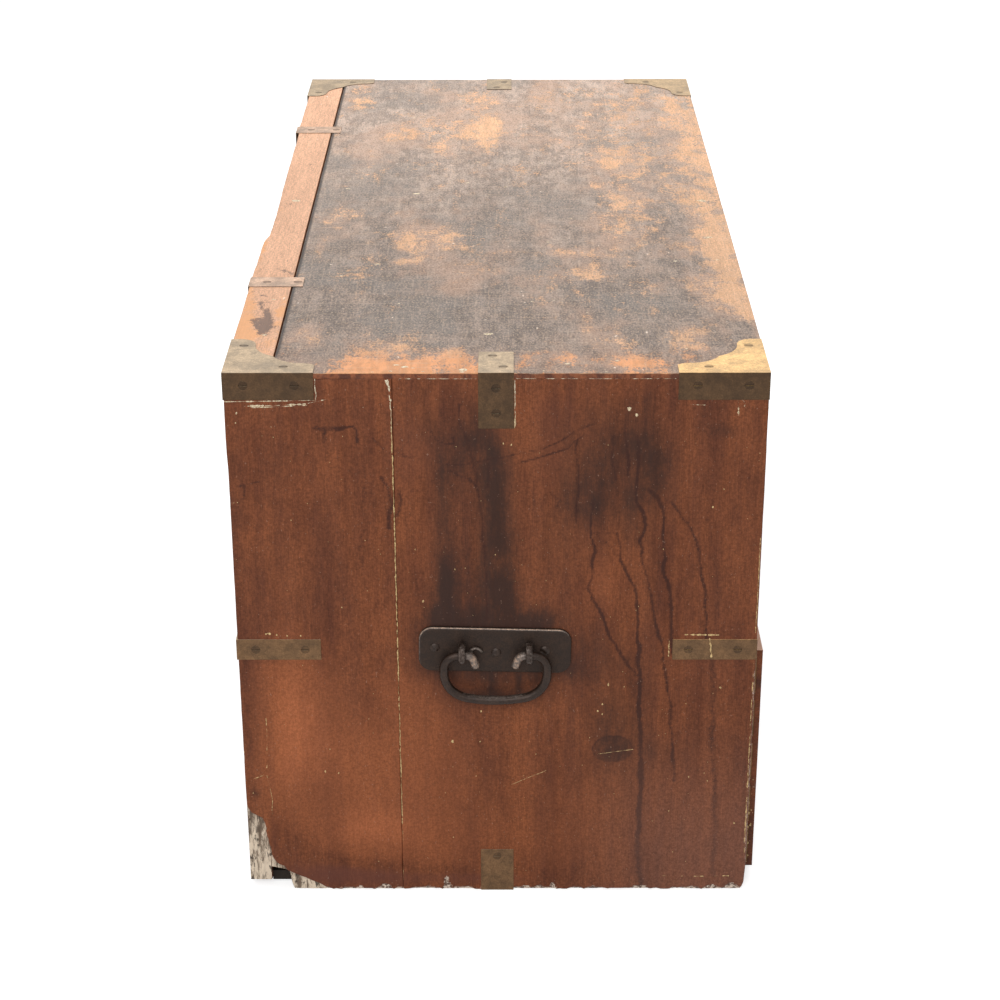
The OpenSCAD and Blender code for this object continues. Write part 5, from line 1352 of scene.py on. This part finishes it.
def revolved(profile, centre, axis, sides=24):
    """Surface of revolution: (radius, height) points turned round an axis through a centre, closed at
    both ends."""
    r, h = np.array(profile, float).T
    a = np.arange(sides) * 2 * np.pi / sides
    axis = np.asarray(axis, float)
    u = np.cross(axis, [0.0, 0.0, 1.0] if abs(axis[2]) < 0.9 else [1.0, 0.0, 0.0])
    u /= np.linalg.norm(u)
    v = np.cross(axis, u)
    ring = np.cos(a)[None, :, None] * u + np.sin(a)[None, :, None] * v
    verts = np.asarray(centre, float) + (r[:, None, None] * ring + h[:, None, None] * axis).reshape(-1, 3)
    return verts, outward(verts, capped(len(r), sides))


def ring_band(centre, inner, band, width, sides=48, section=14):
    """Eye of a split pin: a squarish superellipse section turned round the Y axis, its upper half moved
    up."""
    t = np.arange(section) * 2 * np.pi / section
    co, si = np.cos(t), np.sin(t)
    sr = inner + band / 2 + band / 2 * np.sign(co) * np.abs(co) ** 0.7
    sy = width / 2 * np.sign(si) * np.abs(si) ** 0.7
    a = np.arange(sides) * 2 * np.pi / sides
    rr = sr[None, :] * np.ones((sides, 1))
    p = np.stack([a[:, None] * 6 + rr * 0, rr, sy[None] + rr * 0], -1)
    grow = 1 + 0.05 * lumps(p, 1.7, 17)
    mid = inner + band / 2
    rr = mid + (rr - mid) * grow
    up = EYE_SLACK * (0.5 + 0.5 * np.sign(np.round(np.sin(a), 6)))[:, None]
    verts = np.stack([centre[0] + rr * np.cos(a)[:, None], centre[1] + sy[None] * grow,
                      centre[2] + up + rr * np.sin(a)[:, None]], -1)
    quads = grid_faces(sides + 1, section, wrap=True) % (sides * section)
    v = verts.reshape(-1, 3)
    return v, outward(v, [quads])


def bail_path():
    """Centre line of a lifting handle as (across, up): a nearly straight grip, two corners, and the
    curled-in ends."""
    half_w, corner, grip, drop = 45.4, 25.0, 130.0, 44.5
    turn = math.degrees(math.asin((half_w - corner) / (grip - corner)))
    grip_mid = grip - drop
    corner_mid = grip_mid - (grip - corner) * math.cos(math.radians(turn))
    outer = EYE_SPACING / 2 + 3.3
    inner = EYE_SPACING / 2 - 3.3
    curl, swing = 7.5, 72.0
    parts = [
        arc((0, grip_mid), grip, -90, -90 + turn, 10),
        arc((half_w - corner, corner_mid), corner, -90 + turn, 0, 16)[1:],
        arc((outer, outer - half_w), half_w - outer, 0, 90, 12),
        arc((inner, -curl), curl, 90, 90 + swing, 10),
    ]
    half = np.concatenate(parts)
    way = np.array([math.cos(math.radians(180 + swing)), math.sin(math.radians(180 + swing))])
    tip = half[-1] + way * np.array([2.0, 4.0, 5.5, 6.7, 7.4, 7.8])[:, None]
    half = np.concatenate([half, tip])
    return np.concatenate([half[::-1] * [-1, 1], half[1:]])


def carry_handle():
    """Forged bail: a rod along its path, thickest in the grip, thinner at its tips, with a hammered
    surface."""
    line = bail_path()
    path = np.stack([np.full(len(line), -EYE_X), EYE_Y + line[:, 0], EYE_Z + line[:, 1]], -1)
    s = np.concatenate([[0], np.cumsum(np.linalg.norm(np.diff(path, axis=0), axis=1))])
    middle = 1 - np.abs(2 * s / s[-1] - 1)
    r = 3.75 + 0.35 * smooth(0.28, 0.45, middle)
    r = r * np.sqrt(np.clip(smooth(-0.4, 2.0, s) * smooth(-0.4, 2.0, s[-1] - s), 0.12, 1))
    sides = 20
    verts, faces = tube(path, (1, 0, 0), r, sides)
    at = np.abs(np.abs(verts[:, 1] - EYE_Y) - EYE_SPACING / 2)
    away = smooth(2, 6, at + (verts[:, 2] < EYE_Z - 8) * 20)
    axis = np.repeat(path, sides, 0)
    out = verts - axis
    verts = axis + out * (1 + (0.035 * fractal(verts, 7, 2, 5) * away)[:, None] - 0.01)
    tip = np.repeat(np.minimum(s, s[-1] - s), sides)
    upper = smooth(0.25, 0.95, out[:, 2] / np.linalg.norm(out, axis=1))
    # The upper side of the grip's middle is painted paler: a painted highlight; the tips are rubbed pale
    grip_highlight = upper * smooth(0.62, 0.78, np.repeat(middle, sides))
    rub = 0.62 * (1 - smooth(12, 22, tip)) + 0.15 + 0.34 * grip_highlight
    return verts, outward(verts, faces), rub


class CHEST_OT_handles(bpy.types.Operator):
    """Forge the lifting handles: back plates, nails, eyes and swinging bails at both ends"""

    bl_idname = "chest.handles"
    bl_label = "Lifting handles"

    def execute(self, context):
        make = finishes()
        metal = make("Black iron")
        for end in ("near", "far"):
            flip = end == "far"

            def put(name, verts, faces, rub, body, replaces):
                v, f = mirrored(verts, faces) if flip else (verts, faces)
                rub = np.broadcast_to(rub, (len(v),))
                return piece(name, v, f, metal, body, replaces, {"rub": rub}, 45)

            v, f, rub = plate(*PLATE_SIZE, PLATE_CORNER, PLATE_THICK, PLATE_TILT, PLATE_MIDDLE, 0.12, 4)
            put(f"{end}_iron_plate", v, f, rub, "case", [f"{end}_handle_plate"])
            eyes, shanks = [], []
            for s in (-1, 1):
                centre = (-EYE_X, EYE_Y + s * EYE_SPACING / 2, EYE_Z)
                eyes.append(ring_band(centre, EYE_INNER, EYE_BAND, EYE_WIDTH))
                middle = EYE_Z + EYE_SLACK / 2
                shanks.append(self.bar(*SHANK_X, centre[1], middle, 2.5, 2.2))
                shanks.append(self.bar(*CLENCH_X, centre[1], middle, 2.5, 14.0))
            v, f = joined(eyes + shanks)
            put(f"{end}_split_pins", v, f, 0.42, "case", [f"{end}_handle_eyes"])
            v, f, rub = carry_handle()
            put(f"{end}_bail", v, f, rub, f"{end}_carry_bail", [f"{end}_carry_bail"])
            places = [(-HALF_L - PLATE_THICK, PLATE_MIDDLE[0] + dy, PLATE_MIDDLE[1] + dz) for dy, dz in NAILS]
            v, f = joined([revolved(NAIL_HEAD, place, (-1, 0, 0)) for place in places])
            v = v + 0.12 * np.stack([lumps(v, 2.5, k) for k in (1, 2, 3)], -1)
            put(f"{end}_nail_heads", v, f, 0.3, "case", ["handle_nails"])
        self.bent_nail(metal)
        return {"FINISHED"}

    def bar(self, x0, x1, y, z, half_y, half_z):
        """Square bar along X, as a tube of four sides turned by an eighth."""
        path = np.stack([np.linspace(x0, x1, 3), np.full(3, y), np.full(3, z)], -1)
        a = np.pi / 4 + np.arange(4) * np.pi / 2
        ring = np.stack([a * 0, np.sqrt(2) * half_y * np.cos(a), np.sqrt(2) * half_z * np.sin(a)], -1)
        verts = (path[:, None] + ring[None]).reshape(-1, 3)
        return verts, outward(verts, capped(3, 4))

    def bent_nail(self, metal):
        """Small nail hammered over beside the near plate's left eye: a short rod that rises, turns and
        lies back."""
        at = np.arange(len(BENT_NAIL))
        s = np.linspace(0, at[-1], 31)
        y, z, lift = (np.interp(s, at, values) for values in np.array(BENT_NAIL).T)
        path = np.stack([-HALF_L - PLATE_THICK - lift, y, z], -1)
        taper = np.clip(smooth(-0.5, 1, s) * smooth(-0.5, 1, at[-1] - s), 0.2, 1)
        verts, faces = tube(path, (1, 0, 0), 1.35 * np.sqrt(taper), 12)
        rub = {"rub": np.full(len(verts), 0.55)}
        piece("near_bent_nail", verts, outward(verts, faces), metal, "case", (), rub)


def pull_ring_path():
    """Centre line of a pull's swinging ring as (across, up), from pin to pin round its two lower corners."""
    half_w, drop, corner = RING_HALF_W, 17.0, 7.0
    bend = arc((half_w - corner, corner - drop), corner, -90, 0, 14)
    half = np.concatenate([[[0, -drop]], bend, [[half_w, up] for up in (-4, -1, 1.0, 1.9)]])
    return np.concatenate([half[::-1] * [-1, 1], half[1:]])


class CHEST_OT_drawers(bpy.types.Operator):
    """Build the drawer fronts with worn edges and flush pulls, and finish the dovetailed boxes and locks"""

    bl_idname = "chest.drawers"
    bl_label = "Drawers"

    def execute(self, context):
        make = finishes()
        edge = context.scene.chest_metal.edge
        for row, (z0, z1, face) in DRAWERS.items():
            body = f"{row}_drawer"
            for part, node, width, finish, slot in (
                ("front", "front", FRONT_EDGE, "Front wood", "front_wood"),
                ("pulls", "pull_plates", edge, "Old brass", "brass"),
                ("escutcheon", "escutcheon", edge, "Old brass", "brass"),
                ("lock", "lock", edge, "Old brass", "lock_brass"),
            ):
                worn_copy(f"{row}_worn_{part}", f"{row}_drawer_{node}", width, make(finish), body)
            dress(make("Inner wood along Y"), f"{row}_drawer_near_side", f"{row}_drawer_far_side")
            dress(make("Inner wood along X"), f"{row}_drawer_back", f"{row}_drawer_bottom")
            self.edge_chips(row, z0, z1, face, make("Filler"))
            for end, sign in (("near", -1), ("far", 1)):
                z = (z0 + z1) / 2 + RING_PIVOT_Z
                self.ring(f"{row}_{end}", sign * PULL_X, face + RING_PIVOT_Y, z, make("Old brass"))
        return {"FINISHED"}

    def edge_chips(self, row, z0, z1, face, material):
        """Pale chips along the near end of a front, thickest where a random field along its height is
        high."""
        c = np.arange(150.0)[:, None] * [1, 0, 0]
        z = z0 + 3 + (z1 - z0 - 6) * hashed(c, 14 + z0)
        y = -HALF_D - 0.3 + (face + HALF_D + 1.4) * hashed(c, 16 + z0) ** 3.5
        size = 0.5 + 2.6 * hashed(c, 18 + z0) ** 3
        kept = fractal(np.stack([z, z * 0, z * 0], -1), 40, 2, 66) > -0.05
        table = np.stack([y, z, size], -1)[kept]
        verts, faces = placed(*domes(table, FRONT_END_X - 0.16, 0.7), (1, 2, 0), -1)
        piece(f"{row}_front_chips", verts, faces, material, f"{row}_drawer")

    def ring(self, name, x, y, z, metal):
        """Swinging ring: a rod along its path, fuller in the grip, with a pin at each top corner."""
        line = pull_ring_path()
        path = np.stack([x + line[:, 0], np.full(len(line), y), z + line[:, 1]], -1)
        s = np.concatenate([[0], np.cumsum(np.linalg.norm(np.diff(path, axis=0), axis=1))])
        end = np.minimum(s, s[-1] - s)
        r = (2.15 + 0.22 * smooth(20, 45, end)) * np.sqrt(np.clip(smooth(-0.6, 1.2, end), 0.2, 1))
        rod, faces = tube(path, (0, 1, 0), r, 16)
        pins = [revolved(RING_PIN, (x + side * RING_HALF_W, y, z), (side, 0, 0), 20) for side in (-1, 1)]
        verts, faces = joined([(rod, outward(rod, faces)), *pins])
        piece(f"{name}_ring", verts, faces, metal, f"{name}_pull_ring", [f"{name}_pull_ring"])


class CHEST_OT_stage(bpy.types.Operator):
    """Set the floor, the soft light and the camera"""

    bl_idname = "chest.stage"
    bl_label = "Floor, light and camera"

    def execute(self, context):
        stage = context.scene.chest_stage
        self.floor()
        self.light(context.scene, stage)
        self.camera(context.scene, stage)
        return {"FINISHED"}

    def floor(self):
        """Level pale floor, a grid 12 m square."""
        x = np.linspace(-FLOOR_HALF, FLOOR_HALF, 13)
        a, b = np.meshgrid(x, x, indexing="ij")
        mesh = bpy.data.meshes.new("floor")
        points = np.stack([a, b, a * 0 - FLOOR_DROP], -1).reshape(-1, 3)
        mesh.from_pydata(points.tolist(), [], grid_faces(len(x), len(x)).tolist())
        floor = bpy.data.objects.new("floor", mesh)
        bpy.context.scene.collection.objects.link(floor)
        f = Finish("Pale floor")
        plain = f.add("ShaderNodeBsdfDiffuse", {"Color": (0.55, 0.55, 0.55, 1)})
        matt = f.add("ShaderNodeBsdfDiffuse", {"Color": (0.68, 0.68, 0.68, 1)})
        glow = f.add("ShaderNodeEmission", {"Color": (1, 1, 1, 1), "Strength": 0.68})
        pale = f.add("ShaderNodeAddShader", {0: matt, 1: glow})
        surface = f.add("ShaderNodeMixShader", {0: f.seen(), 1: plain, 2: pale})
        f.add("ShaderNodeOutputMaterial", {"Surface": surface})
        mesh.materials.append(f.material)

    def light(self, scene, stage):
        """Even sky that shows white to the camera and in reflections, and two large lamps."""
        world = bpy.data.worlds.new("Sky")
        world.use_nodes = True
        f = Nodes(world.node_tree)
        level = f.add("ShaderNodeMapRange", {"Value": f.seen(), "To Min": stage.sky, "To Max": 1.0})
        sky = f.add("ShaderNodeBackground", {"Color": (1, 1, 1, 1), "Strength": level})
        f.add("ShaderNodeOutputWorld", {"Surface": sky})
        scene.world = world
        for name, power, size, place, target in LAMPS:
            lamp = bpy.data.lights.new(name, "AREA")
            lamp.energy = getattr(stage, power)
            lamp.size = size
            obj = bpy.data.objects.new(name, lamp)
            obj.location = place
            obj.rotation_euler = (Vector(target) - Vector(place)).to_track_quat("-Z", "Y").to_euler()
            scene.collection.objects.link(obj)

    def camera(self, scene, stage):
        """Camera from its place, yaw, downward pitch and roll."""
        yaw, pitch, roll = (math.radians(v) for v in stage.turn)
        ahead = Vector((math.cos(yaw) * math.cos(pitch), math.sin(yaw) * math.cos(pitch), -math.sin(pitch)))
        level = Vector((math.sin(yaw), -math.cos(yaw), 0))
        below = ahead.cross(level)
        right = math.cos(roll) * level + math.sin(roll) * below
        down = -math.sin(roll) * level + math.cos(roll) * below
        lens = bpy.data.cameras.new("Camera")
        lens.lens = stage.focal
        lens.sensor_width = 36
        lens.clip_start, lens.clip_end = 0.05, 60
        camera = bpy.data.objects.new("Camera", lens)
        camera.matrix_world = Matrix((right, -down, -ahead)).transposed().to_4x4()
        camera.location = stage.eye
        scene.collection.objects.link(camera)
        scene.camera = camera


class CHEST_PT_panel(bpy.types.Panel):
    """Pieces of the chest, in the order in which they are built"""

    bl_idname = "CHEST_PT_panel"
    bl_label = "Campaign chest"
    bl_space_type = "VIEW_3D"
    bl_region_type = "UI"
    bl_category = "Chest"

    def draw(self, context):
        for step in STEPS:
            self.layout.operator(step.bl_idname)
        for group in (context.scene.chest_wood, context.scene.chest_metal, context.scene.chest_stage):
            box = self.layout.box()
            for key in group.bl_rna.properties.keys():
                if key not in ("rna_type", "name"):
                    box.prop(group, key)


STEPS = [CHEST_OT_stage, CHEST_OT_end_boards, CHEST_OT_top_boards, CHEST_OT_back_boards, CHEST_OT_filler,
         CHEST_OT_carcass, CHEST_OT_brass, CHEST_OT_handles, CHEST_OT_drawers]
CLASSES = [ChestWood, ChestMetal, ChestStage, *STEPS, CHEST_PT_panel]


def register():
    for cls in CLASSES:
        bpy.utils.register_class(cls)
    bpy.types.Scene.chest_wood = PointerProperty(type=ChestWood)
    bpy.types.Scene.chest_metal = PointerProperty(type=ChestMetal)
    bpy.types.Scene.chest_stage = PointerProperty(type=ChestStage)


def unregister():
    del bpy.types.Scene.chest_stage
    del bpy.types.Scene.chest_metal
    del bpy.types.Scene.chest_wood
    for cls in reversed(CLASSES):
        bpy.utils.unregister_class(cls)


def main():
    register()
    bpy.context.scene.view_settings.view_transform = "Standard"
    bpy.ops.chest.stage()
    bpy.ops.chest.end_boards()
    bpy.ops.chest.top_boards()
    bpy.ops.chest.back_boards()
    bpy.ops.chest.filler()
    bpy.ops.chest.carcass()
    bpy.ops.chest.brass()
    bpy.ops.chest.handles()
    bpy.ops.chest.drawers()


if __name__ == "__main__":
    main()
